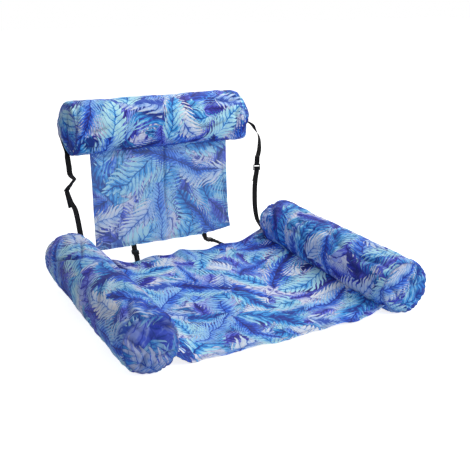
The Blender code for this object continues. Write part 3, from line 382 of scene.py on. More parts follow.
def clothMaterial(name, shift, turn=0.0, paintedShade=0.0, lift=0.0):
    paint = newMaterial(name)
    flat = paint.node("UVMap", {"uv_map": "flat"})
    placed = paint.node("Mapping", {}, {"Vector": flat, "Location": (*shift, 0.0), "Rotation": (0.0, 0.0, turn)})
    group = paint.tree.nodes.new("ShaderNodeGroup")
    group.node_tree = leafPrint
    paint.feed(group.inputs[0], placed)
    # the seam attribute is 1 on the stitched line and falls away to 0 beside it, the fold attribute in a crease; both
    # darken the print as painted shade
    seam = paint.node("Attribute", {"attribute_name": "seam"}, output="Fac")
    creaseShade = paint.node("Attribute", {"attribute_name": "fold"}, output="Fac")
    threads = paint.node("SeparateXYZ", sockets={0: flat})
    dashes = ((threads + threads.also(1)) * clothLook["stitches"]).math("SINE").math("GREATER_THAN", -0.2)
    stitch = dashes * (seam * 8.0 - 7.0).clamp()
    # painted shade in the groove along each seam
    colour = paint.mix(seam * clothLook["seamShare"], Wire(paint, group), clothLook["seamShade"])
    # painted shade darkens a whole piece that lies in shade, lift is painted light on a piece lit more
    colour = paint.mix(lift, paint.mix(paintedShade, colour, clothLook["shadeColour"]), clothLook["light"])
    colour = paint.mix(paint.cloud(placed, 7.0, 2.0) * 0.06, colour, clothLook["faded"])
    # painted shade in the valleys of the folds
    colour = paint.mix(creaseShade.clamp() * 0.5, colour, clothLook["creaseShade"])
    # plain weave, and the soft crumple that the folded cloth keeps
    weave = (threads * clothLook["weave"]).math("SINE") * (threads.also(1) * clothLook["weave"]).math("SINE")
    crumple = abs(paint.cloud(placed, 26.0, 2.5, 0.6, flat=True) - 0.5) * -2.0 + 1.0
    height = weave * clothLook["weaveHigh"] + crumple**3.0 * clothLook["crumpleHigh"]
    height = height + stitch * clothLook["stitchHigh"]
    paint.dress({
        "Base Color": paint.mix(stitch * 0.7, colour, clothLook["thread"]),
        "Specular IOR Level": 0.22,
        "Sheen Weight": 0.03,
        "Sheen Roughness": 0.5,
        "Roughness": paint.cloud(placed, 14.0, 3.0) * 0.22 + 0.46,
        "Normal": paint.bump(height, clothLook["bump"]),
    })
    return paint.material


# darker copies of the print are painted shade on the sleeves and ends, the back panel's lift painted light
sleeveCloth = clothMaterial("printed_sleeve", (0.0, 0.0), 0.4, 0.14)
leftSleeveCloth = clothMaterial("printed_left_sleeve", (1.31, 0.43), -0.6, 0.22)
headCloth = clothMaterial("printed_head_sleeve", (2.77, 1.62), 1.1)
endCloths = {
    "left_arm": clothMaterial("printed_left_arm_end", (4.62, 2.85), 0.3, 0.56),
    "right_arm": clothMaterial("printed_right_arm_end", (9.57, 3.81), 1.3, 0.30),
    "headrest": clothMaterial("printed_headrest_end", (5.21, 8.66), 2.0, 0.36),
}
seatCloth = clothMaterial("printed_seat", (6.40, 5.18))
backCloth = clothMaterial("printed_back", (7.15, 3.32), 0.25, lift=0.16)
print("print made")

# bolsters: each worked out along its own +Y, its closed end at 0 and its valve end at its length
# first and last: how far each end's seam drops, how far the end panel is domed, how long the cloth takes to turn
armX, frontY, armZ = 0.4128, -0.519, 0.0867
headHalf, headY, headZ = 0.3625, 0.4256, 0.478
armForm = {
    "body": "seat", "radius": 0.0872, "length": 0.787, "first": (0.0085, 0.020, 0.030),
    "last": (0.016, 0.017, 0.052), "floor": True, "reach": 0.009,
}
bolsters = {
    "left_arm": {
        **armForm, "place": Matrix.Translation((-armX, frontY, armZ)),
        "caps": ("left_arm_front_cap", "left_arm_rear_cap"), "cloth": leftSleeveCloth, "seed": 3.7,
    },
    "right_arm": {
        **armForm, "place": Matrix.Translation((armX, frontY, armZ)),
        "caps": ("right_arm_front_cap", "right_arm_rear_cap"), "cloth": sleeveCloth, "seed": 11.9,
    },
    "headrest": {
        "body": "backrest", "radius": 0.0934, "length": 0.725, "first": (0.012, 0.032, 0.030),
        "last": (0.012, 0.032, 0.030), "floor": False, "reach": 0.011,
        "place": Matrix.Translation((-headHalf, headY, headZ)) @ Matrix.Rotation(math.radians(-90), 4, "Z"),
        "caps": ("headrest_left_cap", "headrest_right_cap"), "cloth": headCloth, "seed": 23.4,
    },
}
# folds: (part, path of (degrees round, metres along; on an end (degrees, metres out)), depth, half width)
folds = {
    "left_arm": [
        (1, [(156, 0.636), (130, 0.560), (110, 0.502)], 0.0061, 0.0060),
        (1, [(79, 0.652), (95, 0.570), (110, 0.502)], 0.0052, 0.0060),
        (1, [(119, 0.713), (140, 0.675), (156, 0.636)], 0.0043, 0.0070),
        (1, [(84, 0.050), (74, 0.085), (60, 0.130)], 0.0087, 0.0110),
        (1, [(120, 0.045), (112, 0.090), (96, 0.150)], 0.0065, 0.0100),
        (1, [(38, 0.040), (34, 0.100), (44, 0.180)], 0.0058, 0.0090),
        (1, [(150, 0.210), (128, 0.270), (100, 0.310)], 0.0049, 0.0110),
        (1, [(70, 0.340), (62, 0.430), (72, 0.500)], 0.0043, 0.0090),
        (0, [(95, 0.066), (70, 0.060), (45, 0.064), (28, 0.078)], 0.0175, 0.0105),
        (0, [(151, 0.074), (160, 0.050), (190, 0.030)], 0.0065, 0.0070),
        (0, [(-20, 0.074), (-40, 0.046), (-90, 0.030)], 0.0065, 0.0070),
        (0, [(-120, 0.072), (-128, 0.048), (-150, 0.020)], 0.0058, 0.0065),
    ],
    "right_arm": [
        (1, [(96, 0.775), (130, 0.715), (168, 0.633)], 0.0060, 0.0090),
        (1, [(120, 0.052), (128, 0.110), (150, 0.180)], 0.0050, 0.0100),
        (1, [(168, 0.060), (160, 0.130), (172, 0.200)], 0.0060, 0.0110),
        (1, [(84, 0.050), (80, 0.120), (92, 0.190)], 0.0040, 0.0090),
        (1, [(140, 0.250), (118, 0.330), (110, 0.420)], 0.0040, 0.0120),
        (1, [(165, 0.420), (150, 0.500), (158, 0.580)], 0.0036, 0.0110),
        (1, [(70, 0.500), (90, 0.570), (84, 0.660)], 0.0034, 0.0100),
        (0, [(19, 0.024), (70, 0.034), (123, 0.054)], 0.0090, 0.0090),
        (0, [(19, 0.024), (40, 0.052), (49, 0.078)], 0.0050, 0.0070),
        (0, [(19, 0.024), (8, 0.052), (4, 0.078)], 0.0055, 0.0070),
        (0, [(19, 0.024), (-30, 0.046), (-46, 0.074)], 0.0055, 0.0075),
        (0, [(160, 0.070), (172, 0.050), (-120, 0.040)], 0.0050, 0.0080),
    ],
    "headrest": [
        (1, [(75, 0.063), (29, 0.040), (-14, 0.029)], 0.0050, 0.0085),
        (1, [(100, 0.050), (60, 0.075), (40, 0.110)], 0.0036, 0.0090),
        (1, [(10, 0.050), (0, 0.095), (8, 0.150)], 0.0040, 0.0100),
        (1, [(-30, 0.045), (-44, 0.085), (-40, 0.140)], 0.0036, 0.0090),
        (1, [(30, 0.665), (10, 0.640), (-20, 0.655), (-50, 0.640)], 0.0050, 0.0100),
        (1, [(50, 0.670), (44, 0.610), (54, 0.550)], 0.0040, 0.0100),
        (1, [(0, 0.600), (-14, 0.540), (-10, 0.480)], 0.0034, 0.0100),
        (1, [(34, 0.240), (22, 0.330), (34, 0.420)], 0.0030, 0.0120),
        (0, [(60, 0.076), (20, 0.050), (-40, 0.050), (-70, 0.074)], 0.0060, 0.0090),
        (0, [(150, 0.075), (170, 0.040), (-150, 0.072)], 0.0070, 0.0100),
    ],
}
# how many of a bolster's first folds lie on a stitched seam
sewnFolds = {"left_arm": 2}
# swells: (degrees round, metres along, reach in degrees and metres, how far out and how far past the end)
swells = {
    "left_arm": [
        (-90, 0.0, 60, 0.060, 0.0, 0.008), (65, 0.020, 26, 0.030, 0.006, 0.002), (120, 0.740, 34, 0.050, -0.004, 0.0),
        (-30, 0.020, 24, 0.034, 0.004, 0.004), (160, 0.030, 22, 0.030, 0.003, 0.0),
    ],
    "right_arm": [
        (-70, 0.0, 66, 0.070, 0.001, 0.016), (0, 0.010, 34, 0.060, 0.005, 0.006), (40, 0.020, 20, 0.030, 0.003, 0.0),
        (75, 0.770, 26, 0.040, 0.005, 0.003), (115, 0.750, 20, 0.040, -0.004, 0.0),
        (150, 0.775, 26, 0.040, 0.003, 0.004),
    ],
    "headrest": [
        (130, 0.0, 30, 0.070, 0.002, 0.011), (172, 0.0, 22, 0.050, -0.002, -0.004),
        (-150, 0.0, 28, 0.070, 0.002, 0.011), (-72, 0.0, 26, 0.060, 0.010, 0.014), (60, 0.0, 24, 0.050, 0.0, 0.006),
        (-8, 0.725, 26, 0.060, 0.002, 0.012), (-66, 0.725, 22, 0.060, 0.015, 0.017),
        (-26, 0.725, 16, 0.040, -0.004, -0.012), (60, 0.725, 40, 0.060, -0.004, 0.0),
    ],
}
# opening: the radius of the round hole over the valve, with how far beyond it the cloth is pinned and held;
# plain: the middle of an end within this radius is left smooth; lowest: how near the cloth comes to the floor
sleeve = {
    "columns": 84, "capRings": 9, "turnRings": 6, "ringStep": 0.0072, "thick": 0.0012, "opening": 0.0115,
    "plain": 0.02, "pinned": 0.0015, "held": 0.004, "lowest": 0.0003,
}
seamFade = 0.0035
# the cut cloth is a little wider and longer than the air inside it
blow = {"frames": 26, "surplus": 1.035, "longer": 1.012}
blowSettings = {
    "quality": 6, "mass": 0.25, "tension_stiffness": 22.0, "compression_stiffness": 22.0, "shear_stiffness": 9.0,
    "bending_stiffness": 0.25, "use_pressure": True, "uniform_pressure_force": 7.0, "vertex_group_mass": "pins",
}
pucker = {"count": 27, "depth": 0.0040, "long": 0.034, "capLong": 0.013, "uneven": 3.6}
# creases of noise: (scale, height); a ridge is drawn in only where the noise is nearest to 0
lumps = {"broad": (9.0, 0.0035), "small": (38.0, 0.0016), "fine": (34.0, 0.0018)}
ridges = {"long": (0.0034, 0.16), "short": (0.0016, 0.12), "shortScale": 21.0}


def endStation(share, size, radius):
    # radius, and distance in from the end: 0 the middle, 1 the seam, 2 the sleeve
    drop, dome, turn = size
    if share <= 1.0:
        return (radius - drop) * share, dome * share**2
    sweep = (share - 1.0) * math.pi / 2
    return radius - drop + drop * math.sin(sweep), dome + turn * (1.0 - math.cos(sweep))


def stationsOf(form):
    # (radius, y, part) down the whole bolster; part 0 the first cap, 1 the sleeve, 2 the last cap
    radius, length, first, last = form["radius"], form["length"], form["first"], form["last"]
    rings, steps = sleeve["capRings"], sleeve["turnRings"]
    shares = [(n / rings, 0) for n in range(rings)] + [(1 + n / steps, 1) for n in range(steps)]
    rows = [(*endStation(share, first, radius), part) for share, part in shares]
    start, end = first[1] + first[2], length - last[1] - last[2]
    middle = round((end - start) / sleeve["ringStep"])
    rows += [(radius, start + (end - start) * n / middle, 1) for n in range(middle + 1)]
    hole = sleeve["opening"] / (radius - last[0])
    shares = [(2 - n / steps, 1) for n in range(1, steps + 1)]
    shares += [(1 - (1 - hole) * n / rings, 2) for n in range(1, rings + 1)]
    for share, part in shares:
        out, inward = endStation(share, last, radius)
        rows.append((out, length - inward, part))
    return rows


def roughAt(spot, kind, shift):
    scale, height = lumps[kind]
    return noise.noise(spot * scale + shift) * height


def drawnIn(value, kind):
    depth, wide = ridges[kind]
    return depth * max(1.0 - abs(value) / wide, 0.0)


def bolsterGrid(name, form, rows):
    # one closed skin, with its flat map in metres: the sleeve unrolled, each end as a disc
    columns, last = sleeve["columns"], len(rows) - 1
    bm, flat = newGrid(columns, last)
    part = bm.faces.layers.int.new("part")
    seams = [n for n in range(1, len(rows)) if rows[n][2] != rows[n - 1][2]]
    firstSeam, lastSeam = seams[0], seams[1] - 1
    for face in bm.faces:
        middle = (face.calc_center_median().y + 0.5) * last
        face[part] = 0 if middle < firstSeam else (1 if middle < lastSeam else 2)
        for loop in face.loops:
            turnShare = loop.vert.co.x + 0.5
            radius, y, _ = rows[round((loop.vert.co.y + 0.5) * last)]
            angle = math.tau * turnShare - math.pi / 2
            if face[part] == 1:
                loop[flat].uv = (turnShare * math.tau * form["radius"], y)
            else:
                loop[flat].uv = (radius * math.cos(angle) + 0.5 * face[part], radius * math.sin(angle))
    seed = form["seed"]
    for vert in bm.verts:
        angle = math.tau * round((vert.co.x + 0.5) * columns) / columns - math.pi / 2
        radius, y, _ = rows[round((vert.co.y + 0.5) * last)]
        spot = Vector((radius * math.cos(angle), y, radius * math.sin(angle)))
        if radius > sleeve["plain"]:
            lump = roughAt(spot, "broad", Vector((seed, 0, 0))) + roughAt(spot, "small", Vector((0, seed, 0)))
            spot.x += lump * math.cos(angle)
            spot.z += lump * math.sin(angle)
        vert.co = spot
    bmesh.ops.remove_doubles(bm, verts=bm.verts, dist=0.00005)
    return newPiece(name, newMesh(name, bm, outward=True))


def inflate(skin, form):
    # the cloth is cut as a straight tube and flat round ends, a little larger than the air inside
    mesh = skin.data
    skin.shape_key_add(name="start")
    cut = skin.shape_key_add(name="cut")
    length, surplus = form["length"], blow["surplus"]
    for index, vert in enumerate(mesh.vertices):
        x, y, z = vert.co
        radius = math.hypot(x, z)
        grown = surplus
        for inward, size in ((y, form["first"]), (length - y, form["last"])):
            seam = form["radius"] - size[0]
            if inward < size[1] + size[2]:
                grown = max(grown, surplus * form["radius"] / max(radius, seam))
        cut.data[index].co = (x * grown, (y - length / 2) * blow["longer"] + length / 2, z * grown)
    pins = skin.vertex_groups.new(name="pins")
    for vert in mesh.vertices:
        if math.hypot(vert.co.x, vert.co.z) < sleeve["opening"] + sleeve["pinned"]:
            pins.add([vert.index], 1.0, "REPLACE")
    cloth = skin.modifiers.new("inflate", "CLOTH")
    for setting, value in blowSettings.items():
        setattr(cloth.settings, setting, value)
    cloth.settings.rest_shape_key = cut
    cloth.settings.effector_weights.gravity = 0.0
    cloth.collision_settings.use_collision = False
    cloth.point_cache.frame_start, cloth.point_cache.frame_end = 1, blow["frames"]
    for step in range(1, blow["frames"] + 1):
        bpy.context.scene.frame_set(step)
    bpy.context.view_layer.update()
    blown = finished(skin)
    rest = [vert.co.copy() for vert in mesh.vertices]
    for vert, start in zip(blown.vertices, rest):
        move = vert.co - start
        if move.length > form["reach"]:
            vert.co = start + move.normalized() * form["reach"]
    bpy.context.scene.frame_set(1)
    skin.modifiers.clear()
    skin.shape_key_clear()
    skin.data = blown


def refine(skin):
    # one finer level, kept in the mesh so that the folds have points to lie on
    smooth = skin.modifiers.new("finer", "SUBSURF")
    smooth.levels = smooth.render_levels = 1
    finer = finished(skin)
    skin.modifiers.clear()
    skin.data = finer


def pathGap(spot, path, around):
    # distance from a point to a path, and how far along the path it lies; around is the girth that x repeats over
    best, share = 1e9, 0.0
    for n in range(len(path) - 1):
        (ax, ay), (bx, by) = path[n], path[n + 1]
        px = spot[0] if not around else ax + (spot[0] - ax + around / 2) % around - around / 2
        dx, dy = bx - ax, by - ay
        t = min(max(((px - ax) * dx + (spot[1] - ay) * dy) / (dx * dx + dy * dy), 0.0), 1.0)
        gap = math.hypot(px - ax - dx * t, spot[1] - ay - dy * t)
        if gap < best:
            best, share = gap, (n + t) / (len(path) - 1)
    return best, share


def flatSpot(form, part, degrees, reach):
    # a point of a fold on the unrolled sleeve, or on the flat round end
    angle = math.radians(degrees)
    if part == 1:
        return angle * form["radius"], reach
    return reach * math.cos(angle), reach * math.sin(angle)


def endShares(form, co):
    # the nearer end: its seam's radius and how far this point is from the seam, outwards on the sleeve
    radius = math.hypot(co.x, co.z)
    length = form["length"]
    size, inward = (form["first"], co.y) if co.y < length / 2 else (form["last"], length - co.y)
    return radius, form["radius"] - size[0], inward - size[1]


def gatherDepth(form, co, angle, onCap):
    # tucks that the tight stitching draws in beside each end seam
    radius, seamRadius, inward = endShares(form, co)
    seed = form["seed"]
    uneven = rough(math.cos(angle) * 2.0, math.sin(angle) * 2.0, seed)
    wander = rough(math.cos(angle) * 4.0, seed, math.sin(angle) * 4.0)
    ridge = abs(math.sin(pucker["count"] * angle / 2 + pucker["uneven"] * uneven)) ** 0.7
    if onCap:
        fade = math.exp(-max(seamRadius - radius, 0.0) / pucker["capLong"])
    else:
        fade = math.exp(-max(inward, 0.0) / (pucker["long"] * (1.0 + 0.7 * wander)))
    return (0.75 + 0.9 * uneven) * (ridge - 1.0) * fade


def swell(name, co, angle):
    out = past = 0.0
    for degrees, along, wide, reach, rise, further in swells[name]:
        turn = (math.degrees(angle) - degrees + 180.0) % 360.0 - 180.0
        share = math.exp(-((turn / wide) ** 2) - ((co.y - along) / reach) ** 2)
        out += rise * share
        past += further * share
    return out, past


def sculpt(skin, name, form):
    mesh = skin.data
    kept = mesh.attributes["part"].data
    owner = [1] * len(mesh.vertices)
    onSeam = [set() for _ in mesh.vertices]
    for face in mesh.polygons:
        part = kept[face.index].value
        for index in face.vertices:
            owner[index] = part if part != 1 else owner[index]
            onSeam[index].add(part)
    # seam: how near the stitched line, for the stitches and the painted shade beside them; fold: painted shade in the
    # tucks and furrows
    seams = mesh.attributes.new("seam", "FLOAT", "POINT")
    creaseShades = mesh.attributes.new("fold", "FLOAT", "POINT")
    paths = {part: [] for part in (0, 1, 2)}
    for order, (part, path, depth, wide) in enumerate(folds[name]):
        sewn = order < sewnFolds.get(name, 0)
        paths[part].append(([flatSpot(form, part, *stop) for stop in path], depth, wide, sewn))
    girth = math.tau * form["radius"]
    seed = form["seed"]
    normals = [vert.normal.copy() for vert in mesh.vertices]
    for index, vert in enumerate(mesh.vertices):
        co = vert.co
        radius, seamRadius, inward = endShares(form, co)
        if radius < sleeve["opening"] + sleeve["held"]:
            continue
        angle = math.atan2(co.z, co.x)
        onCap = owner[index] != 1 and len(onSeam[index]) == 1
        tuck = gatherDepth(form, co, angle, onCap)
        move = pucker["depth"] * tuck
        # painted shade: the fold attribute darkens the valleys of the tucks and furrows
        crease = max(-tuck - 0.30, 0.0) * 0.7
        part = owner[index] if onCap else 1
        spot = flatSpot(form, part, math.degrees(angle), co.y if part == 1 else radius)
        beside = abs(seamRadius - radius) if onCap else max(inward, 0.0)
        for path, depth, wide, sewn in paths[part]:
            gap, share = pathGap(spot, path, girth if part == 1 else 0.0)
            beside = min(beside, gap) if sewn else beside
            if gap < wide * 4:
                # a furrow that fades towards its ends, with a low ridge on both sides
                taper = min(1.0, 5.0 * share * (1.0 - share) + 0.15)
                ridge = bell((gap - 1.9 * wide) / wide)
                move += depth * taper * (0.45 * ridge - bell(gap / wide))
                crease += 0.9 * taper * bell(gap / (0.45 * wide))
        move -= drawnIn(rough(co.x * 15.0, co.y * 4.5, co.z * 15.0 + seed), "long")
        move += roughAt(co, "fine", Vector((seed, 2.0, 0.0)))
        move -= drawnIn(noise.noise(co * ridges["shortScale"] + Vector((0.0, seed, 5.0))), "short")
        out, past = swell(name, co, angle)
        share = min(radius / seamRadius, 1.0) ** 2
        outward = Vector((math.cos(angle), 0.0, math.sin(angle)))
        end = Vector((0.0, -1.0 if co.y < form["length"] / 2 else 1.0, 0.0))
        vert.co = co + normals[index] * move + outward * out * share + end * past * share
        seams.data[index].value = math.exp(-beside / seamFade)
        creaseShades.data[index].value = crease


def split(skin, name, part):
    # one sewn piece of the blown skin, as its own object
    bm = bmesh.new()
    bm.from_mesh(skin.data)
    kept = bm.faces.layers.int["part"]
    gone = [face for face in bm.faces if face[kept] != part]
    bmesh.ops.delete(bm, geom=gone, context="FACES")
    mesh = newMesh(name, bm)
    mesh.shade_smooth()
    return newPiece(name, mesh)


def thicken(piece, thickness, offset=-1.0):
    wall = piece.modifiers.new("wall", "SOLIDIFY")
    wall.thickness = thickness
    wall.offset = offset


def vinylMaterial(name, colour, rough, through):
    paint = newMaterial(name)
    object3d = paint.node("TexCoord", output="Object")
    cloud = paint.cloud(object3d, 60.0, 3.0)
    grain = paint.cloud(object3d, 700.0, 2.0)
    paint.dress({
        "Base Color": paint.mix(cloud * 0.3, (*colour, 1.0), tuple(part * 0.8 for part in colour)),
        "Roughness": cloud * 0.2 + rough,
        "Transmission Weight": through,
        "IOR": 1.46,
        "Normal": paint.bump(grain * 0.0002 + cloud * 0.0008, 0.4),
    })
    return paint.material


chamber = {"inside": 0.0032, "film": 0.0006}
chamberVinyl = vinylMaterial("chamber_vinyl_film", (0.62, 0.76, 0.86), 0.18, 0.0)
valveVinyl = vinylMaterial("valve_soft_vinyl", (0.80, 0.84, 0.87), 0.16, 0.35)


def makeBladder(skin, name, form):
    # the air chamber: the blown cloth's own form, just inside it
    mesh = skin.data
    mesh.name = name + "_chamber"
    inside = [vert.co - vert.normal * chamber["inside"] for vert in mesh.vertices]
    for vert, spot in zip(mesh.vertices, inside):
        vert.co = spot
    mesh.materials.clear()
    mesh.materials.append(chamberVinyl)
    mesh.shade_smooth()
    skin.name = name + "_bladder_film"
    thicken(skin, chamber["film"])
    standFor(name + "_bladder", "chamber_vinyl")
    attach(skin, form["body"])


surfaces = {}
for name, form in bolsters.items():
    skin = bolsterGrid(name + "_skin", form, stationsOf(form))
    inflate(skin, form)
    refine(skin)
    sculpt(skin, name, form)
    skin.data.transform(form["place"])
    if form["floor"]:
        for vert in skin.data.vertices:
            vert.co.z = max(vert.co.z, sleeve["lowest"])
    surfaces[name] = BVHTree.FromObject(skin, bpy.context.evaluated_depsgraph_get())
    firstCap, lastCap = form["caps"]
    for part, node in ((1, name + "_cover"), (0, firstCap), (2, lastCap)):
        piece = split(skin, node + "_cloth", part)
        piece.data.materials.clear()
        piece.data.materials.append(form["cloth"] if part == 1 else endCloths[name])
        thicken(piece, sleeve["thick"])
        standFor(node, "bolster_cloth" if part == 1 else "end_cloth")
        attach(piece, form["body"])
    makeBladder(skin, name, form)
    print(name, "bolster made")

# seat panel: slack printed cloth between the arms, lying on the floor
seat = {
    "depth": 0.801, "inset": 0.020, "edgeShare": 0.58, "riseWidth": 0.150, "rearRise": 1.3, "fold": 0.0165,
    "thick": 0.0016, "columns": 170, "rows": 170, "cornerReach": 0.065, "cornerSteep": 0.50, "crinkle": 0.0085,
    "tension": 0.0050, "hem": 0.012, "hemWide": 0.016, "hemHigh": 0.0012, "mapScale": (0.76, 0.80),
    "cloth": seatCloth,
}
# humps of the rear edge (height, x, width, how fast they fade forwards), and the slack's waves
humps = ((0.016, 0.016, 0.030, 8), (0.014, -0.245, 0.040, 6))
waves = ((0.34, 9.0, 5.0, 0.6), (0.26, 17.0, -7.0, 1.9), (0.22, 6.0, -13.0, 4.0))


def seatFolds(s, t):
    wave = sum(high * math.sin(turns * s + runs * t + start) for high, turns, runs, start in waves)
    gathers = 0.30 * math.cos(31.0 * s + 1.2) * (t**6 + 0.5 * (1 - t) ** 8)
    return seat["fold"] * math.sin(math.pi * s) ** 0.5 * max(0.30 + 0.60 * wave + gathers, 0.0)


def seatEdge(y, side):
    # where the cloth is sewn to the arm's skin, below the arm's middle
    name = "left_arm" if side < 0 else "right_arm"
    form = bolsters[name]
    along = min(max(y, form["first"][1] + 0.002), form["length"] - form["last"][1] - 0.002)
    level = seat["edgeShare"]
    heading = Vector((-side * math.sqrt(1 - level**2), 0.0, -level))
    hit = surfaces[name].ray_cast(Vector((side * armX, frontY + along, armZ)), heading)
    spot = hit[0] + heading * sleeve["thick"]
    return spot.x, spot.z


def seatShape(x, y, edges):
    (leftX, leftZ), (rightX, rightZ) = edges
    half, edgeZ = (-leftX, leftZ) if x < 0 else (rightX, rightZ)
    u = (x - leftX) / (rightX - leftX)
    v = (y - seat["inset"]) / (seat["depth"] - seat["inset"])
    width = seat["riseWidth"] * (1 + (seat["rearRise"] - 1) * v)
    if x < 0:
        width *= 1.0 - seat["cornerSteep"] * bell((y - seat["inset"]) / seat["cornerReach"])
    inward = min(max(half - abs(x), 0.0), width) / width
    low = seat["thick"] / 2 + 0.0006
    rise = (edgeZ - low) * (1 - math.sin(inward * math.pi / 2)) ** 1.5
    hump = sum(high * bell((x - at) / wide) * max(v, 0.0) ** fade for high, at, wide, fade in humps)
    fine = rough(x * 16.0, y * 11.0, 4.2) * 0.5 + rough(x * 37.0, y * 29.0, 9.1) * 0.25
    crinkle = max(fine + 0.12, 0.0) * seat["crinkle"] * min(inward * 3, 1.0)
    # pulled folds that fan out from the corners where the cloth is sewn to the arms
    corners = ((leftX, 0.0, 0.3), (rightX, 0.0, 1.4), (leftX, seat["depth"], 2.2), (rightX, seat["depth"], 0.9))
    for cornerX, cornerY, first in corners:
        away = math.hypot(x - cornerX, y - cornerY)
        fan = math.atan2(y - cornerY, x - cornerX)
        share = min(away / 0.05, 1.0) * math.exp(-away / 0.17)
        turned = fan * 7.0 + first + 3.0 * rough(x * 5, y * 5, first)
        crinkle += seat["tension"] * share * (1.0 - abs(math.sin(turned))) ** 1.5
    if min(y - seat["inset"], seat["depth"] - y) < seat["hemWide"]:
        crinkle += seat["hemHigh"]
    return Vector((x, frontY + y, low + rise + hump + seatFolds(u, v) + crinkle))


def makeSheet(node, form, body, mapOf, shapeOf, gapsOf, shadeOf=None):
    # a flat grid, mapped, then shaped; seams are 1 on each stitched line and fall to 0 beside it, and the fold layer
    # holds the painted shade of a crease
    bm, flat = newGrid(form["columns"], form["rows"])
    layFlat(bm, flat, mapOf)
    creaseShades = bm.verts.layers.float.new("fold") if shadeOf else None
    for vert in bm.verts:
        across, along = vert.co.x + 0.5, vert.co.y + 0.5
        if shadeOf:
            vert[creaseShades] = shadeOf(across, along)
        vert.co = shapeOf(across, along)
    area = sum(face.calc_area() for face in bm.faces)
    mesh = newMesh(node.replace("_panel", "_cloth"), bm, outward=True)
    seams = mesh.attributes.new("seam", "FLOAT", "POINT")
    for vert in mesh.vertices:
        seams.data[vert.index].value = math.exp(-min(gapsOf(vert.co)) / seamFade)
    mesh.shade_smooth()
    mesh.materials.append(form["cloth"])
    piece = newPiece(node + "_cloth", mesh)
    thicken(piece, form["thick"], 0.0)
    standFor(node, "panel_cloth")
    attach(piece, body)
    return piece, area


def makeSeat():
    depth = seat["depth"] - seat["inset"]
    rows = [seat["inset"] + depth * n / seat["rows"] for n in range(seat["rows"] + 1)]
    edges = [(seatEdge(y, -1), seatEdge(y, 1)) for y in rows]
    front, rear = frontY + seat["inset"] + seat["hem"], frontY + seat["depth"] - seat["hem"]
    wide, long = seat["mapScale"]

    def shapeOf(across, along):
        row = round(along * seat["rows"])
        left, right = edges[row][0][0], edges[row][1][0]
        return seatShape(left + (right - left) * across, rows[row], edges[row])

    piece, area = makeSheet(
        "seat_panel", seat, "seat", lambda spot: (spot.x * wide, spot.y * long), shapeOf,
        lambda spot: (abs(spot.y - front), abs(rear - spot.y)),
    )
    area / depth


makeSeat()
print("seat panel made")

# back panel: two layers of printed cloth hanging from the headrest
back = {
    "width": 0.522, "foot": 0.036, "lean": 0.058, "hinge": (0.3676, 0.036), "top": 0.3925, "belly": 0.010,
    "pleat": 0.0035, "lowerLeft": 0.014, "upperRight": 0.019, "crease": 0.0042, "creaseShadeStrength": 1.1,
    "creaseShare": 0.525, "pull": 0.0030, "seamShare": 0.93, "seamHigh": 0.0012, "cornerLift": 0.022,
    "cornerStart": 0.78, "thick": 0.0018, "columns": 170, "rows": 120, "edgeHem": 0.004, "footHem": 0.010,
    "mapHigh": 0.35, "tieShares": (0.25, 0.80), "cloth": backCloth,
}


def backShape(u, v):
    hingeY, hingeZ = back["hinge"]
    lift = max(u - back["cornerStart"], 0.0) / (1 - back["cornerStart"])
    foot = hingeZ + back["cornerLift"] * lift**1.6
    top = back["top"] - 0.0008
    z = foot + (top - foot) * v
    height = (z - hingeZ) / (top - hingeZ)
    y = hingeY + back["lean"] * height
    y += back["belly"] * math.sin(math.pi * v) * math.sin(math.pi * u)
    y += back["pleat"] * math.cos(44.0 * u) * (1 - v) ** 4 * math.sin(math.pi * u)
    y -= back["cornerLift"] * lift**2 * (1 - v) ** 5
    left = -back["width"] / 2 - back["lowerLeft"] * (1 - v)
    right = back["width"] / 2 + back["upperRight"] * v
    x = left + (right - left) * u
    y += rough(x * 14.0, 3.3, z * 9.0) * 0.003 + rough(x * 33.0, 7.1, z * 26.0) * 0.0014
    # the crease down the middle that the folded panel keeps, and pulls above the two ties
    aside = u - back["creaseShare"]
    y += back["crease"] * bell(aside / 0.008) * min(1.0, 1.6 - v)
    y -= 0.5 * back["crease"] * bell((aside - 0.020) / 0.012)
    for tieShare in back["tieShares"]:
        fan = math.atan2(u - tieShare, v + 0.10)
        y += back["pull"] * math.cos(fan * 16.0) * math.exp(-v * 3.2) * bell(fan / 0.7)
    y += back["seamHigh"] * bell((v - back["seamShare"]) / 0.006)
    return Vector((x, y, z))


# painted shade in the middle crease, stored in the fold layer
def backCreaseShade(u, v):
    return back["creaseShadeStrength"] * bell((u - back["creaseShare"]) / 0.007) * min(max(v * 4 - 0.8, 0.0), 1.0)


def makeBack():
    sewn = back["foot"] + (back["top"] - back["foot"]) * back["seamShare"]
    side, foot = back["width"] / 2 - back["edgeHem"], back["foot"] + back["footHem"]
    piece, area = makeSheet(
        "back_panel", back, "backrest",
        lambda spot: ((spot.x + 1.5) * back["width"], (spot.y + 1.8) * back["mapHigh"]), backShape,
        lambda spot: (abs(spot.z - sewn), abs(side - abs(spot.x)), abs(spot.z - foot)), backCreaseShade,
    )
    area / back["width"]


makeBack()
print("back panel made")

# webbing: 20 mm black tape, threaded through the adjusters and buckles as in the frame
web = {"width": 0.0195, "thick": 0.0014, "edge": 0.00035, "steps": 4, "across": 6, "rib": 0.0026, "thread": 0.0019}
lock = {
    "wrap": 0.0026, "layer": 0.0017, "lay": 0.6, "near": 3, "middle": -0.011, "end": -0.022, "sewnBack": 0.034,
    "still": 0.020, "forward": 20.0, "turns": 8, "tailSteps": 6,
}
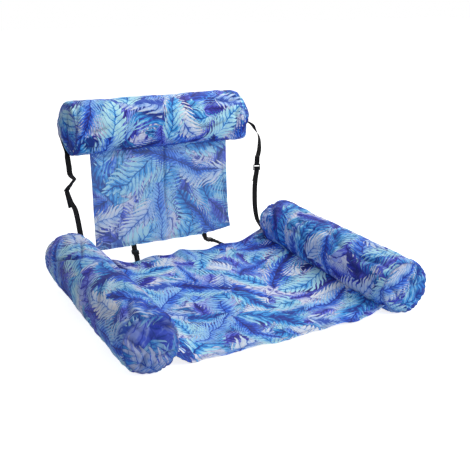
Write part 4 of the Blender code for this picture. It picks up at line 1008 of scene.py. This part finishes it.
# each stop of a strap is (x, y, z, heading of its width in degrees)
straps = {
    "left": {
        "origin": (-0.3663, 0.3317, 0.3015), "bar": (0.8192, 0.5736, 0.0),
        "face": (-0.4263, 0.6087, 0.6691), "up": (0.3838, -0.5481, 0.7431),
        "upper": [
            (-0.3571, 0.4556, 0.4540, 74.6), (-0.3508, 0.4556, 0.4340, 60), (-0.3419, 0.4322, 0.3994, 26),
            (-0.3438, 0.4192, 0.3811, 4), (-0.3466, 0.3980, 0.3536, -4), (-0.3523, 0.3684, 0.3305, 6),
        ],
        "lower": [
            (-0.3518, 0.2613, 0.0547, -22), (-0.3518, 0.2613, 0.0647, -22), (-0.3520, 0.2718, 0.0981, -12),
            (-0.3531, 0.2848, 0.1351, 2), (-0.3552, 0.2970, 0.1802, 8), (-0.3588, 0.3121, 0.2220, 12),
            (-0.3683, 0.3221, 0.2462, 24),
        ],
        "tail": 0.058, "swing": 5.0,
    },
    "right": {
        "origin": (0.3879, 0.3688, 0.2839), "bar": (0.9397, -0.3420, 0.0),
        "face": (0.3345, 0.9192, 0.2079), "up": (-0.0711, -0.1954, 0.9781),
        "upper": [
            (0.3562, 0.4556, 0.4540, 105.4), (0.3919, 0.4268, 0.4350, 122), (0.4049, 0.4169, 0.4119, 92),
            (0.4142, 0.4020, 0.3840, 40), (0.4090, 0.3889, 0.3440, 6), (0.4011, 0.3827, 0.3213, -12),
        ],
        "lower": [
            (0.3518, 0.2613, 0.0547, 22), (0.3518, 0.2613, 0.0647, 22), (0.3508, 0.2726, 0.0720, 20),
            (0.3501, 0.2959, 0.0900, 8), (0.3541, 0.3191, 0.1300, -8), (0.3620, 0.3372, 0.1802, -16),
            (0.3708, 0.3500, 0.2205, -20),
        ],
        "tail": 0.040, "swing": -24.0,
    },
}
tie = {
    "slope": 2.0, "socketBar": 0.02374, "prongBar": -0.00883, "socketBend": 0.003449, "prongBend": 0.003563,
    "sewn": 0.014, "prongTurn": (-10, 190), "socketTurn": (70, -250), "turn": 0.0022, "lay": 0.55, "steps": 3,
    "hemLow": 0.0011, "turns": 8, "loopTurns": 9,
}
ties = {
    "left": {
        "start": (-0.1500, 0.2830, 0.0027), "foot": (-0.1300, 0.3676, 0.0360), "level": (0.2301, 0.9732, 0.0),
        "mating": (-0.1373, 0.3368, 0.0165), "hem": 0.3717,
        "behind": ((0.0660, 0.37810), (0.0525, 0.37521), (0.0396, 0.37246)),
    },
    "right": {
        "start": (0.2020, 0.2830, 0.0105), "foot": (0.1580, 0.3676, 0.0360), "level": (-0.4614, 0.8872, 0.0),
        "mating": (0.1729, 0.3389, 0.0165), "hem": 0.36925,
        "behind": ((0.0660, 0.3772), (0.0525, 0.3743), (0.0396, 0.3708)),
    },
}


def webbingMaterial():
    paint = newMaterial("black_webbing")
    flat = paint.node("SeparateXYZ", sockets={0: paint.node("UVMap", {"uv_map": "flat"})})
    # ribs along the tape, each of small slanted threads, between plain selvages
    ribs = (flat * (math.tau / web["rib"])).math("SINE")
    threads = ((flat.also(1) + abs(ribs) * 0.0006) * (math.tau / web["thread"])).math("SINE")
    selvage = (abs(flat / web["width"] - 0.5) * 30.0 - 13.2).clamp()
    fuzz = paint.cloud(paint.node("TexCoord", output="Object"), 900.0, 2.0)
    tone = (ribs * 0.2 + threads * 0.18 + fuzz * 0.8) * (1.0 - selvage * 0.4)
    ramp = [(0.0, (0.002, 0.002, 0.0025)), (0.6, (0.006, 0.006, 0.007)), (1.0, (0.016, 0.016, 0.019))]
    paint.dress({
        "Base Color": paint.node("ValToRGB", {"stops": ramp}, {0: tone.clamp()}),
        "Roughness": fuzz * 0.2 + 0.60,
        "Specular IOR Level": 0.16,
        "Normal": paint.bump(ribs * 0.00016 + threads * 0.00010 + fuzz * 0.00008, 0.7),
    })
    return paint.material


blackWeb = webbingMaterial()


def heading(degrees):
    return Vector((math.cos(math.radians(degrees)), math.sin(math.radians(degrees)), 0.0))


def stopsOf(rows):
    return [(Vector(row[:3]), heading(row[3])) for row in rows]


def between(a, b, c, d, t):
    # the smooth curve from b to c that also heeds a and d
    bend = 2 * a - 5 * b + 4 * c - d
    return 0.5 * (2 * b + (c - a) * t + bend * t**2 + (3 * b - a - 3 * c + d) * t**3)


def smoothRoute(stops, steps):
    # points and width directions on one smooth curve through the stops
    made = []
    for n in range(len(stops) - 1):
        four = [stops[max(n - 1, 0)], stops[n], stops[n + 1], stops[min(n + 2, len(stops) - 1)]]
        for step in range(steps + (n == len(stops) - 2)):
            spot, sideways = (between(*line, step / steps) for line in zip(*four))
            made.append((spot, sideways.normalized()))
    return made


def inBuckle(y, z):
    # a point in a buckle's own frame: its bars run along x, y is towards its face, z up the strap
    return Vector((0.0, y, z))


def roundBar(level, start, end, steps, radius):
    made = []
    for n in range(steps + 1):
        angle = math.radians(start + (end - start) * n / steps)
        made.append(inBuckle(radius * math.cos(angle), level + radius * math.sin(angle)))
    return made


def inFrame(place, spots):
    bar = place.to_3x3() @ Vector((1.0, 0.0, 0.0))
    return [(place @ spot, bar) for spot in spots]


def makeWeb(name, node, route):
    last = len(route) - 1
    run = [0.0]
    for n in range(last):
        run.append(run[-1] + (route[n + 1][0] - route[n][0]).length)

    def rowOf(spot):
        return round((spot.y + 0.5) * last)

    bm, flat = newGrid(web["across"], last)
    layFlat(bm, flat, lambda spot: ((spot.x + 0.5) * web["width"], run[rowOf(spot)]))
    for vert in bm.verts:
        spot, sideways = route[rowOf(vert.co)]
        vert.co = spot + sideways * vert.co.x * web["width"]
    mesh = newMesh(name, bm, outward=True)
    mesh.materials.append(blackWeb)
    mesh.shade_smooth()
    piece = newPiece(name, mesh)
    thicken(piece, web["thick"], 0.0)
    edge = piece.modifiers.new("selvage", "BEVEL")
    edge.width = web["edge"]
    edge.segments = 2
    edge.limit_method = "ANGLE"
    standFor(node, "webbing")
    return piece


def makeStrap(side):
    size = straps[side]
    place = Matrix((size["bar"], size["face"], size["up"])).transposed().to_4x4()
    place.translation = size["origin"]
    wrap, layer, steps = lock["wrap"], lock["layer"], web["steps"]
    # the upper webbing comes down, turns round the top bar and is sewn to itself
    lay, back, near = layer * lock["lay"], lock["sewnBack"], wrap * lock["near"]
    folded = [inBuckle(lay, back), inBuckle(lay, near)] + roundBar(0.0, 0, -180, lock["turns"], wrap)
    folded += [inBuckle(-lay, near), inBuckle(-lay, back)]
    route = smoothRoute(stopsOf(size["upper"]) + inFrame(place, folded[:1]), steps)[:-1] + inFrame(place, folded)
    upper = makeWeb(side + "_upper_webbing", side + "_upper_strap", route)
    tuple(route[0][0])
    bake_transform(upper)
    # the lower webbing goes up to the adjuster, round its middle bar, and hangs down as the tail
    middle, end = lock["middle"], lock["end"]
    outer = -(wrap + layer * 1.12)
    load = [inBuckle(outer, end - wrap), inBuckle(outer, end + wrap), inBuckle((outer - wrap) / 2, middle - wrap)]
    load += roundBar(middle, 180, -35, lock["turns"], wrap)
    load += [
        inBuckle(wrap * 0.05, (middle + end) / 2), inBuckle(-wrap * 0.92, end + wrap * 0.9),
        inBuckle(-wrap, end - wrap * 0.5), inBuckle(-wrap * 1.02, end - wrap * 2),
    ]
    route = smoothRoute(stopsOf(size["lower"]) + inFrame(place, load[:1]), steps)[:-1] + inFrame(place, load)
    hang, bar = route[-1]
    swing, forward = math.radians(size["swing"]), math.radians(lock["forward"])
    down = Vector((math.tan(swing), -math.tan(forward), -1.0)).normalized()
    for _ in range(lock["tailSteps"]):
        hang = hang + down * size["tail"] / lock["tailSteps"]
        route.append((hang, bar))
    lower = makeWeb(side + "_lower_webbing", side + "_lower_strap", route)
    bottom = Vector(size["lower"][2][:3])
    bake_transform(lower)


def makeTie(side):
    size = ties[side]
    level, foot, start = Vector(size["level"]), Vector(size["foot"]), Vector(size["start"])
    rise = math.radians(tie["slope"])
    along = level * math.cos(rise) + Vector((0.0, 0.0, math.sin(rise)))
    across = Vector((level.y, -level.x, 0.0))
    place = Matrix((across, along.cross(across), along)).transposed().to_4x4()
    place.translation = size["mating"]
    bend, lay, steps = tie["prongBend"], lock["layer"] * tie["lay"], tie["steps"]
    low = tie["prongBar"] - bend * 2
    joined = [inBuckle(lay, low)] + roundBar(tie["prongBar"], *tie["prongTurn"], tie["turns"], bend)
    joined += [inBuckle(-lay, low), inBuckle(-lay, low - tie["sewn"])]
    lead = [(start, heading(0)), (start + level * web["width"] / 4, heading(0))]
    route = smoothRoute(lead + inFrame(place, [inBuckle(lay, low - tie["sewn"])]), steps) + inFrame(place, joined)
    piece = makeWeb(side + "_seat_tie_webbing", side + "_seat_tie_strap", route)
    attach(piece, "seat")
    bars = inFrame(place, roundBar(tie["socketBar"], *tie["socketTurn"], tie["loopTurns"], tie["socketBend"]))
    layers = []
    for layer in (0, 1):
        back = lock["layer"] * layer
        turnY, turnZ, turn = size["hem"] + back, foot.z - tie["hemLow"] - web["thick"] - back, tie["turn"]
        spots = [(y + back, z) for z, y in size["behind"]] + [(turnY, turnZ + turn), (turnY - turn, turnZ - turn)]
        layers.append([(Vector((foot.x, y, z)), heading(0)) for y, z in spots])
    route = smoothRoute(layers[1] + bars[:1], steps)[:-1] + bars + smoothRoute(bars[-1:] + layers[0][::-1], steps)[1:]
    # the loop goes round its socket's bar; it and the two layers above it meet under the hem
    under = steps * (len(layers[0]) - 1)
    over = len(route) - 1 - under
    hem = (route[under][0] + route[over][0]) / 2
    loop = makeWeb(side + "_back_tie_webbing", side + "_back_tie_strap", route[under : over + 1])
    bar = place @ Vector((0.0, 0.0, tie["socketBar"]))
    above = bar + (hem - bar).normalized() * tie["socketBend"] * 1.3
    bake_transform(loop)
    for name, layer in (("_outer", route[: under + 1]), ("_inner", route[over:])):
        piece = makeWeb(side + "_back_tie" + name, side + "_back_tie_strap", layer)
        hem + Vector((0.0, tie["turn"], tie["turn"] * 2))
        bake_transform(piece)


for side in ("left", "right"):
    makeStrap(side)
    makeTie(side)
print("webbing made")


def acetalMaterial():
    paint = newMaterial("black_acetal_moulded")
    object3d = paint.node("TexCoord", output="Object")
    grain = paint.cloud(object3d, 1600.0, 3.0)
    scuff = paint.cloud(object3d, 120.0, 4.0, 1.2)
    worn = ((scuff - 0.56) * 5.0).clamp() * 0.3
    paint.dress({
        "Base Color": paint.mix(worn, (0.006, 0.006, 0.007), (0.026, 0.026, 0.028)),
        "Roughness": scuff * 0.25 + 0.26,
        "Specular IOR Level": 0.32,
        "Normal": paint.bump(grain * 0.00012 + scuff * 0.0002, 0.5),
    })
    return paint.material


# adjusters, buckles and valves keep the frame's forms, with moulded finishes
acetal = acetalMaterial()
for name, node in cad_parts.items():
    buckle = name.endswith(("_strap_adjuster", "_tie_prong", "_tie_socket"))
    if buckle or "valve" in name:
        for place in node.material_slots:
            place.material = acetal if buckle else valveVinyl
print("plastics finished")
